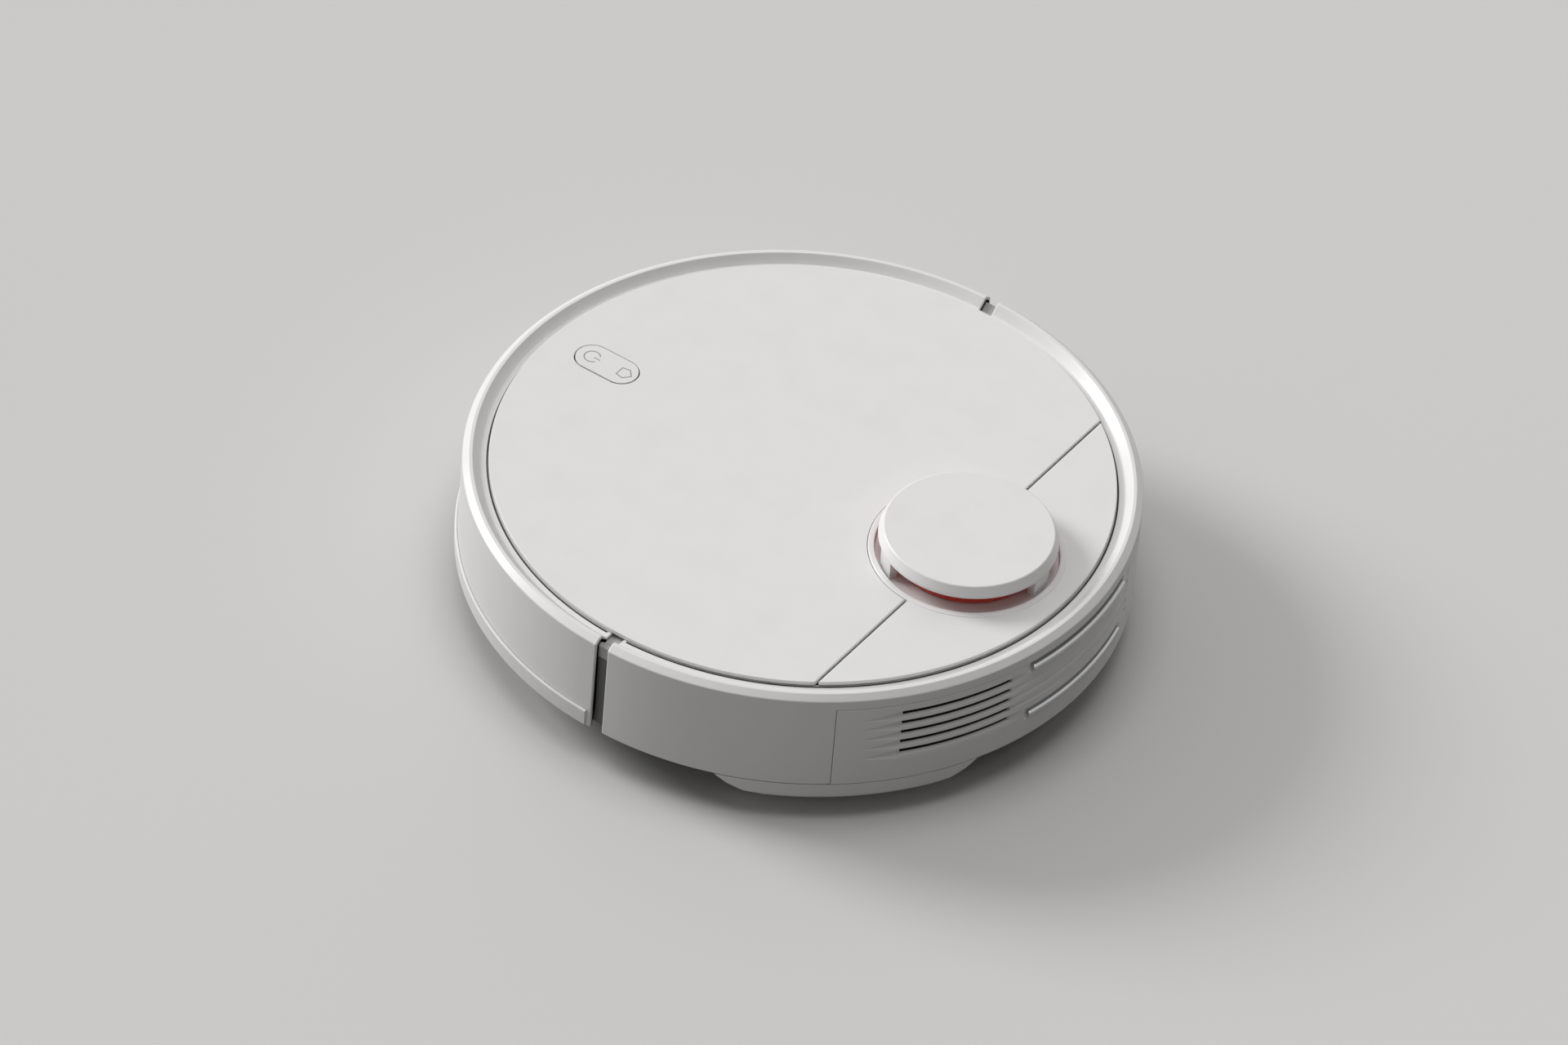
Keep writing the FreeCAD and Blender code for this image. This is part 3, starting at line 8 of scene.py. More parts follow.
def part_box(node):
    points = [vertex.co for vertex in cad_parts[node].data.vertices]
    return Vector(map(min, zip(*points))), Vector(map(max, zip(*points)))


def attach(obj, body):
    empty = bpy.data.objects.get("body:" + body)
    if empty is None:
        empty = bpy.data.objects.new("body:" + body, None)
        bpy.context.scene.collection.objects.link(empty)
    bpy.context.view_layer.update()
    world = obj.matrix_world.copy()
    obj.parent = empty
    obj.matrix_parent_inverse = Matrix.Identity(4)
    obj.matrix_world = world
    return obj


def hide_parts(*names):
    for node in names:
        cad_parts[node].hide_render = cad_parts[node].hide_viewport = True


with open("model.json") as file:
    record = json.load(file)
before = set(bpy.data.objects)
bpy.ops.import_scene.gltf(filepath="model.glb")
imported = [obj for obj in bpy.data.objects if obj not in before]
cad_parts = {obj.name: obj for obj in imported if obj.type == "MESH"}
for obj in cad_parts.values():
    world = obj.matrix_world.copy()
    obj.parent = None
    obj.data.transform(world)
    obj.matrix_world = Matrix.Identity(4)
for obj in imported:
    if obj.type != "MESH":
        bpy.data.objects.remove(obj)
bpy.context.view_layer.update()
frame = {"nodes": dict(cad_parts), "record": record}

# ---- Studio ----
# A plain pale floor, one broad soft lamp in front of the machine and a dim surround that is brighter
# on the lamp's side. The camera looks down over the machine's left shoulder.
scene = bpy.context.scene
scene.view_settings.view_transform = "Standard"
mm = 0.001


def add_node(tree, kind, inputs=None, **settings):
    node = tree.nodes.new(kind)
    for key, value in settings.items():
        setattr(node, key, value)
    for socket, value in (inputs or {}).items():
        if isinstance(value, bpy.types.NodeSocket):
            tree.links.new(value, node.inputs[socket])
        else:
            node.inputs[socket].default_value = value
    return node


def arithmetic(tree, operation, *values):
    return add_node(tree, "ShaderNodeMath", dict(enumerate(values)), operation=operation).outputs[0]


def blend_colour(tree, share, first, second):
    node = add_node(tree, "ShaderNodeMix", data_type="RGBA")
    for socket, value in ((node.inputs["Factor"], share), (node.inputs[6], first), (node.inputs[7], second)):
        if isinstance(value, bpy.types.NodeSocket):
            tree.links.new(value, socket)
        elif isinstance(value, tuple):
            socket.default_value = (*value, 1.0)
        else:
            socket.default_value = value
    return node.outputs[2]


def place_camera(azimuth, elevation, roll, target, distance, lens):
    azimuth, elevation, roll = (math.radians(angle) for angle in (azimuth, elevation, roll))
    back = Vector((math.sin(azimuth) * math.cos(elevation), -math.cos(azimuth) * math.cos(elevation),
                   math.sin(elevation)))
    across = Vector((0, 0, 1)).cross(back).normalized()
    upright = back.cross(across)
    right = across * math.cos(roll) + upright * math.sin(roll)
    up = upright * math.cos(roll) - across * math.sin(roll)
    camera = bpy.data.objects.new("camera", bpy.data.cameras.new("camera"))
    camera.data.lens = lens
    camera.data.clip_end = 50.0
    turn = Matrix((right, up, back)).transposed().to_4x4()
    camera.matrix_world = Matrix.Translation(Vector(target) + back * distance) @ turn
    scene.collection.objects.link(camera)
    scene.camera = camera


place_camera(212.27, 41.72, 4.89, (29.9 * mm, -33.4 * mm, 1.6 * mm), 3.6165, 160.26)



def hang_lamp(name, towards, energy, spread):
    lamp = bpy.data.objects.new(name, bpy.data.lights.new(name, "SUN"))
    lamp.data.energy = energy
    lamp.data.angle = math.radians(spread)
    lamp.rotation_mode = "QUATERNION"
    lamp.rotation_quaternion = Vector(towards).to_track_quat("Z", "Y")
    scene.collection.objects.link(lamp)


hang_lamp("window_lamp", (0.88, 0.12, 0.46), 2.0, 22)
hang_lamp("ceiling_lamp", (0.02, 0.0, 1.0), 0.85, 36)

world = bpy.data.worlds.new("surround")
world.use_nodes = True
scene.world = world
sky = world.node_tree
sky.nodes.clear()
heading = add_node(sky, "ShaderNodeTexCoord").outputs["Generated"]
towards_lamp = add_node(sky, "ShaderNodeVectorMath", {0: heading, 1: (0.86, -0.30, 0.40)}, operation="DOT_PRODUCT")
brightness = add_node(sky, "ShaderNodeMapRange", {"Value": towards_lamp.outputs["Value"], "From Min": -0.6,
                                                  "From Max": 0.9, "To Min": 0.07, "To Max": 0.50},
                      interpolation_type="SMOOTHSTEP").outputs["Result"]
surround = add_node(sky, "ShaderNodeBackground", {"Color": (1.0, 0.99, 0.975, 1.0), "Strength": brightness})
pale = add_node(sky, "ShaderNodeBackground", {"Color": (0.84, 0.835, 0.825, 1.0), "Strength": 1.0})


def seen_directly(tree):
    """1 where the eye, a reflection or a view through clear plastic meets the backdrop, 0 for its light."""
    ray = add_node(tree, "ShaderNodeLightPath").outputs
    mirrored = arithmetic(tree, "MAXIMUM", ray["Is Glossy Ray"], ray["Is Transmission Ray"])
    return arithmetic(tree, "MAXIMUM", ray["Is Camera Ray"], mirrored)


seen = seen_directly(sky)
sky_mix = add_node(sky, "ShaderNodeMixShader", {0: seen, 1: surround.outputs[0], 2: pale.outputs[0]})
add_node(sky, "ShaderNodeOutputWorld", {"Surface": sky_mix.outputs[0]})


def new_material(name):
    material = bpy.data.materials.new(name)
    material.use_nodes = True
    tree = material.node_tree
    return material, tree, tree.nodes["Principled BSDF"]


floor_finish, tree, surface = new_material("studio_floor")
where = add_node(tree, "ShaderNodeTexCoord").outputs["Object"]
drift = add_node(tree, "ShaderNodeTexNoise", {"Vector": where, "Scale": 0.8, "Detail": 3.0}).outputs[0]
pale_floor = blend_colour(tree, drift, (0.62, 0.615, 0.605), (0.66, 0.655, 0.645))
floor_tone = blend_colour(tree, seen_directly(tree), (0.27, 0.268, 0.262), pale_floor)
tree.links.new(floor_tone, surface.inputs["Base Color"])
surface.inputs["Roughness"].default_value = 0.75
floor_shape = bmesh.new()
bmesh.ops.create_grid(floor_shape, x_segments=8, y_segments=8, size=9.0)
floor_mesh = bpy.data.meshes.new("studio_floor")
floor_shape.to_mesh(floor_mesh)
floor_shape.free()
floor = bpy.data.objects.new("studio_floor", floor_mesh)
floor.data.materials.append(floor_finish)
scene.collection.objects.link(floor)


# ---- Chassis tub ----
# Injection-moulded charcoal tub that everything is screwed to. Fine spark-eroded grain, edges eased by
# the mould, a little grey dust in the low places.
def new_group(name, inputs, outputs):
    group = bpy.data.node_groups.new(name, "ShaderNodeTree")
    for label, value in inputs.items():
        group.interface.new_socket(label, in_out="INPUT", socket_type="NodeSocketFloat").default_value = value
    for label in outputs:
        group.interface.new_socket(label, in_out="OUTPUT", socket_type="NodeSocketFloat")
    return group, group.nodes.new("NodeGroupInput"), group.nodes.new("NodeGroupOutput")


def build_moulded_grain():
    """Height of the fine mould texture, and slow unevenness in tone left by the plastic's flow."""
    group, given, made = new_group("moulded_grain", {"Grain Size": 0.0006, "Flow Size": 0.04}, ("Height", "Flow"))
    spot = add_node(group, "ShaderNodeTexCoord").outputs["Object"]
    fine = arithmetic(group, "DIVIDE", 1.0, given.outputs["Grain Size"])
    slow = arithmetic(group, "DIVIDE", 1.0, given.outputs["Flow Size"])
    pits = add_node(group, "ShaderNodeTexVoronoi", {"Vector": spot, "Scale": fine}, feature="SMOOTH_F1").outputs[0]
    bumps = add_node(group, "ShaderNodeTexNoise", {"Vector": spot, "Scale": fine, "Detail": 2.0}).outputs[0]
    group.links.new(arithmetic(group, "ADD", pits, bumps), made.inputs["Height"])
    flow = add_node(group, "ShaderNodeTexNoise", {"Vector": spot, "Scale": slow, "Detail": 4.0,
                                                  "Roughness": 0.55}).outputs[0]
    group.links.new(flow, made.inputs["Flow"])
    return group


def build_handling():
    """Faint finger smudges and hairline scratches."""
    group, given, made = new_group("handling", {"Smudge Size": 0.03, "Scratch Size": 0.012}, ("Smudge", "Scratch"))
    spot = add_node(group, "ShaderNodeTexCoord").outputs["Object"]
    size = arithmetic(group, "DIVIDE", 1.0, given.outputs["Smudge Size"])
    cloud = add_node(group, "ShaderNodeTexNoise", {"Vector": spot, "Scale": size, "Detail": 5.0,
                                                   "Distortion": 0.6}).outputs[0]
    smudge = add_node(group, "ShaderNodeMapRange", {"Value": cloud, "From Min": 0.48, "From Max": 0.72}).outputs[0]
    group.links.new(smudge, made.inputs["Smudge"])
    turned_spot = add_node(group, "ShaderNodeMapping", {"Vector": spot, "Rotation": (0.3, 0.2, 0.7),
                                                        "Scale": (1.0, 14.0, 1.0)}).outputs[0]
    count = arithmetic(group, "DIVIDE", 1.0, given.outputs["Scratch Size"])
    lines = add_node(group, "ShaderNodeTexVoronoi", {"Vector": turned_spot, "Scale": count},
                     feature="DISTANCE_TO_EDGE").outputs[0]
    thin = add_node(group, "ShaderNodeMapRange", {"Value": lines, "From Min": 0.0, "From Max": 0.02,
                                                  "To Min": 1.0, "To Max": 0.0}).outputs[0]
    gate = add_node(group, "ShaderNodeMapRange", {"Value": cloud, "From Min": 0.55, "From Max": 0.65}).outputs[0]
    group.links.new(arithmetic(group, "MULTIPLY", thin, gate), made.inputs["Scratch"])
    return group


def build_settled_dust():
    """Where dust lies: on faces that look up, in patches."""
    group, given, made = new_group("settled_dust", {"Amount": 0.3, "Patch Size": 0.02}, ("Dust",))
    place = add_node(group, "ShaderNodeTexCoord")
    level = add_node(group, "ShaderNodeSeparateXYZ", {0: place.outputs["Normal"]}).outputs["Z"]
    upward = add_node(group, "ShaderNodeMapRange", {"Value": level, "From Min": 0.0, "From Max": 0.9}).outputs[0]
    size = arithmetic(group, "DIVIDE", 1.0, given.outputs["Patch Size"])
    patch = add_node(group, "ShaderNodeTexNoise", {"Vector": place.outputs["Object"], "Scale": size,
                                                   "Detail": 6.0}).outputs[0]
    spread = add_node(group, "ShaderNodeMapRange", {"Value": patch, "From Min": 0.45, "From Max": 0.7}).outputs[0]
    amount = arithmetic(group, "MULTIPLY", given.outputs["Amount"], spread)
    group.links.new(arithmetic(group, "MULTIPLY", amount, upward), made.inputs["Dust"])
    return group


moulded_grain = build_moulded_grain()
handling = build_handling()
settled_dust = build_settled_dust()


def use_group(tree, group, **values):
    node = tree.nodes.new("ShaderNodeGroup")
    node.node_tree = group
    for label, value in values.items():
        node.inputs[label.replace("_", " ").title()].default_value = value
    return node


def moulded_plastic(name, colour, roughness, grain=0.0005, relief=0.25, dust=0.2, wear=0.5, shade=0.86):
    """Opaque moulded plastic: flow marks in the tone, grain in relief, smudges and dust."""
    material, tree, surface = new_material(name)
    texture = use_group(tree, moulded_grain, grain_size=grain)
    touch = use_group(tree, handling)
    dusty = use_group(tree, settled_dust, amount=dust)
    darker = tuple(channel * shade for channel in colour)
    flow = arithmetic(tree, "MULTIPLY", texture.outputs["Flow"], 0.5)
    tone = blend_colour(tree, flow, colour, darker)
    scuffed = arithmetic(tree, "MULTIPLY", touch.outputs["Scratch"], 0.25 * wear)
    paler = tuple(min(0.85, channel * 1.3 + 0.06) for channel in colour)
    tone = blend_colour(tree, scuffed, tone, paler)
    tone = blend_colour(tree, dusty.outputs["Dust"], tone, (0.42, 0.41, 0.39))
    tree.links.new(tone, surface.inputs["Base Color"])
    gloss = arithmetic(tree, "MULTIPLY_ADD", touch.outputs["Smudge"], 0.10 * wear, roughness)
    gloss = arithmetic(tree, "MULTIPLY_ADD", dusty.outputs["Dust"], 0.3, gloss)
    tree.links.new(gloss, surface.inputs["Roughness"])
    bump = add_node(tree, "ShaderNodeBump", {"Strength": relief, "Distance": 0.00008,
                                             "Height": texture.outputs["Height"]})
    tree.links.new(bump.outputs[0], surface.inputs["Normal"])
    return material


body_of = {node: body for body, nodes in frame["record"]["behaviour"]["bodies"].items() for node in nodes}


def make_piece(name, shape, material, edge=0.0, angle=35.0, segments=3):
    """Put a finished shape in the scene, its sharp edges eased to the given radius."""
    bmesh.ops.remove_doubles(shape, verts=shape.verts, dist=1e-7)
    bmesh.ops.recalc_face_normals(shape, faces=shape.faces)
    mesh = bpy.data.meshes.new(name)
    shape.to_mesh(mesh)
    shape.free()
    mesh.shade_smooth()
    mesh.materials.append(material)
    piece = bpy.data.objects.new(name, mesh)
    scene.collection.objects.link(piece)
    if edge:
        easing = piece.modifiers.new("eased_edges", "BEVEL")
        easing.width = edge
        easing.segments = segments
        easing.limit_method = "ANGLE"
        easing.angle_limit = math.radians(angle)
        easing.miter_outer = "MITER_ARC"
    evening = piece.modifiers.new("even_shading", "WEIGHTED_NORMAL")
    evening.keep_sharp = True
    return piece


def stands_for(piece, *nodes):
    """The piece takes the place of these frame nodes and moves with their body."""
    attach(piece, body_of[nodes[0]])
    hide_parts(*nodes)
    slots = [row["slot"] for row in frame["record"]["materials"]]
    for name in (nodes[0], nodes[0].replace("_left", "").replace("_right", "")):
        if name in slots:
            break
    return piece


def eased_copy(node, material, edge=0.3 * mm, angle=30.0, segments=2):
    """A moulded piece on the frame's own shape, with the edges a real mould leaves."""
    shape = bmesh.new()
    shape.from_mesh(frame["nodes"][node].data)
    bmesh.ops.remove_doubles(shape, verts=shape.verts, dist=2e-6)
    bmesh.ops.dissolve_degenerate(shape, dist=1e-6, edges=shape.edges)
    bmesh.ops.dissolve_limit(shape, angle_limit=math.radians(0.5), verts=shape.verts, edges=shape.edges)
    return stands_for(make_piece(node + "_part", shape, material, edge, angle, segments), node)


charcoal = moulded_plastic("charcoal_moulding", (0.115, 0.115, 0.113), 0.52, dust=0.25)
eased_copy("base_chassis", charcoal, 0.35 * mm)

# ---- Bay liner ----
# Second charcoal moulding, dropped into the tub and held down by the top frame: the open bay for the dust
# bin with the hood over the main brush. Its walls have a finer grain, polished by the bin sliding in.
liner_charcoal = moulded_plastic("liner_charcoal", (0.135, 0.135, 0.132), 0.42, grain=0.0004, relief=0.15, dust=0.3,
                                 wear=0.9)
eased_copy("bay_liner", liner_charcoal, 0.3 * mm)

# ---- Battery bay ----
# Lithium pack in a shrink sleeve, dropped in from below and closed by a screwed cover flush with the tub.
sleeve_blue = moulded_plastic("battery_sleeve", (0.05, 0.12, 0.21), 0.32, grain=0.002, relief=0.25, dust=0.1)
cover_grey = moulded_plastic("cover_grey", (0.15, 0.15, 0.148), 0.5, grain=0.0009, relief=0.35)
eased_copy("battery", sleeve_blue, 1.2 * mm, segments=4)
eased_copy("battery_cover", cover_grey, 0.6 * mm, segments=3)

# ---- Cliff sensor windows ----
# Smoked infrared-clear acrylic, pressed into the tub from below; nearly black, with a high polish.
smoked, tree, surface = new_material("smoked_acrylic")
touch = use_group(tree, handling, smudge_size=0.008)
tree.links.new(blend_colour(tree, touch.outputs["Smudge"], (0.012, 0.008, 0.012), (0.03, 0.024, 0.028)),
               surface.inputs["Base Color"])
tree.links.new(arithmetic(tree, "MULTIPLY_ADD", touch.outputs["Smudge"], 0.18, 0.07), surface.inputs["Roughness"])
surface.inputs["Coat Weight"].default_value = 0.5
eased_copy("cliff_windows", smoked, 0.25 * mm)

# ---- Base screws ----
# Black-zinc cross-head screws, M3, driven from below into the tub's bosses. The frame says where each is.
def steel(name, colour=(0.62, 0.62, 0.61), roughness=0.2, round_axis=None, streak=0.00015):
    """Steel with brush lines; round_axis names the axis that the lines run round."""
    material, tree, surface = new_material(name)
    spot = add_node(tree, "ShaderNodeTexCoord").outputs["Object"]
    part = add_node(tree, "ShaderNodeSeparateXYZ", {0: spot})
    if round_axis == "Z":
        level = part.outputs["Z"]
        turn = arithmetic(tree, "ARCTAN2", part.outputs["Y"], part.outputs["X"])
        spot = add_node(tree, "ShaderNodeCombineXYZ", {"X": arithmetic(tree, "MULTIPLY", turn, 0.004),
                                                       "Y": level, "Z": 0.0}).outputs[0]
    lines = add_node(tree, "ShaderNodeTexNoise", {"Vector": spot, "Scale": 1.0 / streak, "Detail": 3.0}).outputs[0]
    tree.links.new(blend_colour(tree, lines, colour, tuple(c * 0.86 for c in colour)), surface.inputs["Base Color"])
    tree.links.new(arithmetic(tree, "MULTIPLY_ADD", lines, 0.16, roughness - 0.06), surface.inputs["Roughness"])
    bump = add_node(tree, "ShaderNodeBump", {"Strength": 0.12, "Distance": 0.00005, "Height": lines})
    tree.links.new(bump.outputs[0], surface.inputs["Normal"])
    surface.inputs["Metallic"].default_value = 1.0
    return material


def new_tree(name, inputs):
    """An empty geometry tree with its named inputs, returned with its two end nodes."""
    tree = bpy.data.node_groups.new(name, "GeometryNodeTree")
    tree.interface.new_socket("Geometry", in_out="INPUT", socket_type="NodeSocketGeometry")
    for label, (kind, value) in inputs.items():
        socket = tree.interface.new_socket(label, in_out="INPUT", socket_type="NodeSocket" + kind)
        if value is not None:
            socket.default_value = value
    tree.interface.new_socket("Geometry", in_out="OUTPUT", socket_type="NodeSocketGeometry")
    return tree, tree.nodes.new("NodeGroupInput"), tree.nodes.new("NodeGroupOutput")


def close_tree(tree, geometry, material, made):
    real = add_node(tree, "GeometryNodeRealizeInstances", {0: geometry}).outputs[0]
    coloured = add_node(tree, "GeometryNodeSetMaterial", {"Geometry": real, "Material": material}).outputs[0]
    tree.links.new(coloured, made.inputs[0])


def grow(name, tree, start, values):
    """Run a geometry tree on a start mesh and keep the result as a plain mesh piece."""
    holder = bpy.data.objects.new(name + "_start", start)
    scene.collection.objects.link(holder)
    growing = holder.modifiers.new("growing", "NODES")
    growing.node_group = tree
    for item in tree.interface.items_tree:
        if item.item_type == "SOCKET" and item.in_out == "INPUT" and item.name in values:
            growing[item.identifier] = values[item.name]
    bpy.context.view_layer.update()
    mesh = bpy.data.meshes.new_from_object(holder.evaluated_get(bpy.context.evaluated_depsgraph_get()))
    bpy.data.objects.remove(holder)
    mesh.name = name
    piece = bpy.data.objects.new(name, mesh)
    scene.collection.objects.link(piece)
    return piece


def solids_of(node):
    """Lowest and highest corner of each separate solid in a frame node."""
    shape = bmesh.new()
    shape.from_mesh(frame["nodes"][node].data)
    bmesh.ops.remove_doubles(shape, verts=shape.verts, dist=2e-6)
    waiting, boxes = set(shape.verts), []
    while waiting:
        front = [waiting.pop()]
        reached = list(front)
        while front:
            for edge in front.pop().link_edges:
                for vertex in edge.verts:
                    if vertex in waiting:
                        waiting.discard(vertex)
                        front.append(vertex)
                        reached.append(vertex)
        low = Vector(min(v.co[i] for v in reached) for i in range(3))
        high = Vector(max(v.co[i] for v in reached) for i in range(3))
        boxes.append((low, high))
    shape.free()
    return sorted(boxes, key=lambda pair: tuple(pair[0]))


def points_mesh(name, points):
    mesh = bpy.data.meshes.new(name)
    mesh.from_pydata([tuple(point) for point in points], [], [])
    return mesh


def pan_head_shape(radius=3.0 * mm, height=1.8 * mm, recess=1.1 * mm):
    """Low domed head looking down, with a cross recess, and its shank above."""
    shape = bmesh.new()
    count, levels = 32, 6
    rows = []
    for k in range(levels + 1):
        share = k / levels
        ring, r = [], radius * math.sin(share * math.pi / 2)
        for j in range(count):
            angle = 2 * math.pi * j / count
            x, y = r * math.cos(angle), r * math.sin(angle)
            arm = max(abs(x), abs(y)) < 1.9 * mm and min(abs(x), abs(y)) < 0.45 * mm
            dome = height * 0.45 * math.cos(share * math.pi / 2)
            z = -dome + (recess if arm else 0.0)
            ring.append(shape.verts.new((x, y, z)))
        rows.append(ring)
    skirt = [shape.verts.new((radius * math.cos(2 * math.pi * j / count), radius * math.sin(2 * math.pi * j / count),
                              height * 0.55)) for j in range(count)]
    rows.append(skirt)
    for first, second in zip(rows, rows[1:]):
        for j in range(count):
            k = (j + 1) % count
            shape.faces.new((first[j], first[k], second[k], second[j]))
    shape.faces.new(rows[-1])
    bmesh.ops.remove_doubles(shape, verts=shape.verts, dist=1e-7)
    bmesh.ops.recalc_face_normals(shape, faces=shape.faces)
    return shape


screw_mesh = bpy.data.meshes.new("pan_head")
screw_shape = pan_head_shape()
screw_shape.to_mesh(screw_mesh)
screw_shape.free()
screw_mesh.shade_smooth()
screw_mesh.set_sharp_from_angle(angle=math.radians(35))
screw_object = bpy.data.objects.new("pan_head", screw_mesh)
scene.collection.objects.link(screw_object)
screw_tree, given, made = new_tree("drive_screws", {"Screw": ("Object", None), "Turn": ("Float", 6.28),
                                                    "Seed": ("Int", 4), "Finish": ("Material", None)})
one_screw = add_node(screw_tree, "GeometryNodeObjectInfo", {"Object": given.outputs["Screw"]})
spin_each = add_node(screw_tree, "FunctionNodeRandomValue", data_type="FLOAT")
screw_tree.links.new(given.outputs["Turn"], spin_each.inputs[3])
screw_tree.links.new(given.outputs["Seed"], spin_each.inputs["Seed"])
turned_each = add_node(screw_tree, "ShaderNodeCombineXYZ", {"Z": spin_each.outputs[1]})
placed = add_node(screw_tree, "GeometryNodeInstanceOnPoints", {"Points": given.outputs["Geometry"],
                                                               "Instance": one_screw.outputs["Geometry"]})
screw_tree.links.new(turned_each.outputs[0], placed.inputs["Rotation"])
close_tree(screw_tree, placed.outputs[0], given.outputs["Finish"], made)
black_zinc = steel("black_zinc", colour=(0.09, 0.09, 0.095), roughness=0.34, streak=0.0008)
screw_spots = [((low.x + high.x) / 2, (low.y + high.y) / 2, low.z + 1.0 * mm) for low, high in solids_of("base_screws")]
screws = grow("base_screws_part", screw_tree, points_mesh("screw_spots", screw_spots),
              {"Screw": screw_object, "Turn": 6.28, "Seed": 4, "Finish": black_zinc})
bpy.data.objects.remove(screw_object)
stands_for(screws, "base_screws")

# ---- Suction fan ----
# Grey housing screwed in the rear left of the tub, a brushless motor under it, and a nine-blade wheel
# turned by the motor. The snout leads the air to the slots on the left.
mid_grey = moulded_plastic("mid_grey_moulding", (0.33, 0.33, 0.325), 0.5, dust=0.3)
black_nylon = moulded_plastic("black_nylon", (0.028, 0.028, 0.03), 0.42, dust=0.2, grain=0.0004)
motor_steel = steel("motor_can", roughness=0.3, round_axis=None, streak=0.0006)
eased_copy("fan_housing", mid_grey, 0.4 * mm)
eased_copy("fan_motor", motor_steel, 0.4 * mm)
eased_copy("fan_impeller", black_nylon, 0.2 * mm)

# ---- Main brush ----
# Grey core carried in two end bearings, with three soft blades and three rows of nylon bristles wound
# towards the middle. A snap-in guard frames the mouth of the well; the gearbox stands beside it.
core_grey = moulded_plastic("core_grey", (0.24, 0.245, 0.25), 0.45, dust=0.1)
blade_rubber = moulded_plastic("blade_rubber", (0.055, 0.056, 0.06), 0.62, grain=0.0003, relief=0.3, dust=0.35)
eased_copy("main_brush_core", core_grey, 0.4 * mm)
eased_copy("main_brush_blades", blade_rubber, 0.25 * mm)
eased_copy("brush_bearings", black_nylon, 0.4 * mm)
eased_copy("brush_gearbox", mid_grey, 0.8 * mm, segments=3)
eased_copy("brush_guard", cover_grey, 0.8 * mm, segments=3)


def bristle_fibre(name, colour, tip):
    """Nylon monofilament: strands and clumps mixed at random between a darker and a paler tone."""
    material, tree, surface = new_material(name)
    spot = add_node(tree, "ShaderNodeTexCoord").outputs["Object"]
    strand = add_node(tree, "ShaderNodeTexNoise", {"Vector": spot, "Scale": 900.0, "Detail": 1.0}).outputs[0]
    clump = add_node(tree, "ShaderNodeTexNoise", {"Vector": spot, "Scale": 120.0, "Detail": 2.0}).outputs[0]
    share = arithmetic(tree, "MULTIPLY", strand, clump)
    tree.links.new(blend_colour(tree, arithmetic(tree, "MULTIPLY", share, 2.6), colour, tip),
                   surface.inputs["Base Color"])
    surface.inputs["Roughness"].default_value = 0.38
    surface.inputs["Sheen Weight"].default_value = 0.15
    return material


def build_bristle_tree():
    """Stand tapered fibres on the faces of a strip, leaning a little at random."""
    tree, given, made = new_tree("bristles", {
        "Density": ("Float", 4.0e6), "Length": ("Float", 0.012), "Thickness": ("Float", 0.00012),
        "Lean": ("Float", 0.12), "Seed": ("Int", 11), "Finish": ("Material", None)})
    roots = add_node(tree, "GeometryNodeDistributePointsOnFaces", {"Mesh": given.outputs["Geometry"],
                                                                   "Density": given.outputs["Density"],
                                                                   "Seed": given.outputs["Seed"]})
    fibre = add_node(tree, "GeometryNodeMeshCone", {"Vertices": 4, "Side Segments": 2,
                                                    "Radius Bottom": given.outputs["Thickness"],
                                                    "Depth": given.outputs["Length"]}, fill_type="NONE")
    fibre.inputs["Radius Top"].default_value = 0.00004
    lean = add_node(tree, "FunctionNodeRandomValue", data_type="FLOAT_VECTOR")
    back = add_node(tree, "ShaderNodeMath", {0: given.outputs["Lean"], 1: -1.0}, operation="MULTIPLY")
    tree.links.new(back.outputs[0], lean.inputs[0])
    tree.links.new(given.outputs["Lean"], lean.inputs[1])
    tree.links.new(given.outputs["Seed"], lean.inputs["Seed"])
    upright = add_node(tree, "FunctionNodeRotateRotation", rotation_space="LOCAL")
    tree.links.new(roots.outputs["Rotation"], upright.inputs[0])
    tree.links.new(lean.outputs[0], upright.inputs[1])
    placed = add_node(tree, "GeometryNodeInstanceOnPoints", {"Points": roots.outputs["Points"],
                                                             "Instance": fibre.outputs["Mesh"]})
    tree.links.new(upright.outputs[0], placed.inputs["Rotation"])
    close_tree(tree, placed.outputs[0], given.outputs["Finish"], made)
    return tree


bristle_tree = build_bristle_tree()
brush_low, brush_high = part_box("main_brush_core")
brush_middle = (brush_low + brush_high) / 2
bristle_low, bristle_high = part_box("main_brush_bristles")
core_radius, bristle_tip = 8.0 * mm, (bristle_high.x - bristle_low.x) / 2
root_reach = (bristle_high.y - bristle_low.y) / 2 - 0.5 * mm


def spiral_strip(row, width, rise, steps=60):
    """A narrow strip lying on the core and wound a fifth of a turn from the middle outwards."""
    points, faces = [], []
    for i in range(steps + 1):
        share = 2 * i / steps - 1
        turn = math.radians(60.0 + 120.0 * row + 70.0 * abs(share))
        for side in (-1, 1):
            lean = turn + side * width / 2 / core_radius
            reach = core_radius + rise
            points.append((brush_middle.x + reach * math.cos(lean), brush_middle.y + root_reach * share,
                           brush_middle.z + reach * math.sin(lean)))
    for i in range(steps):
        faces.append((2 * i, 2 * i + 1, 2 * i + 3, 2 * i + 2))
    return points, faces


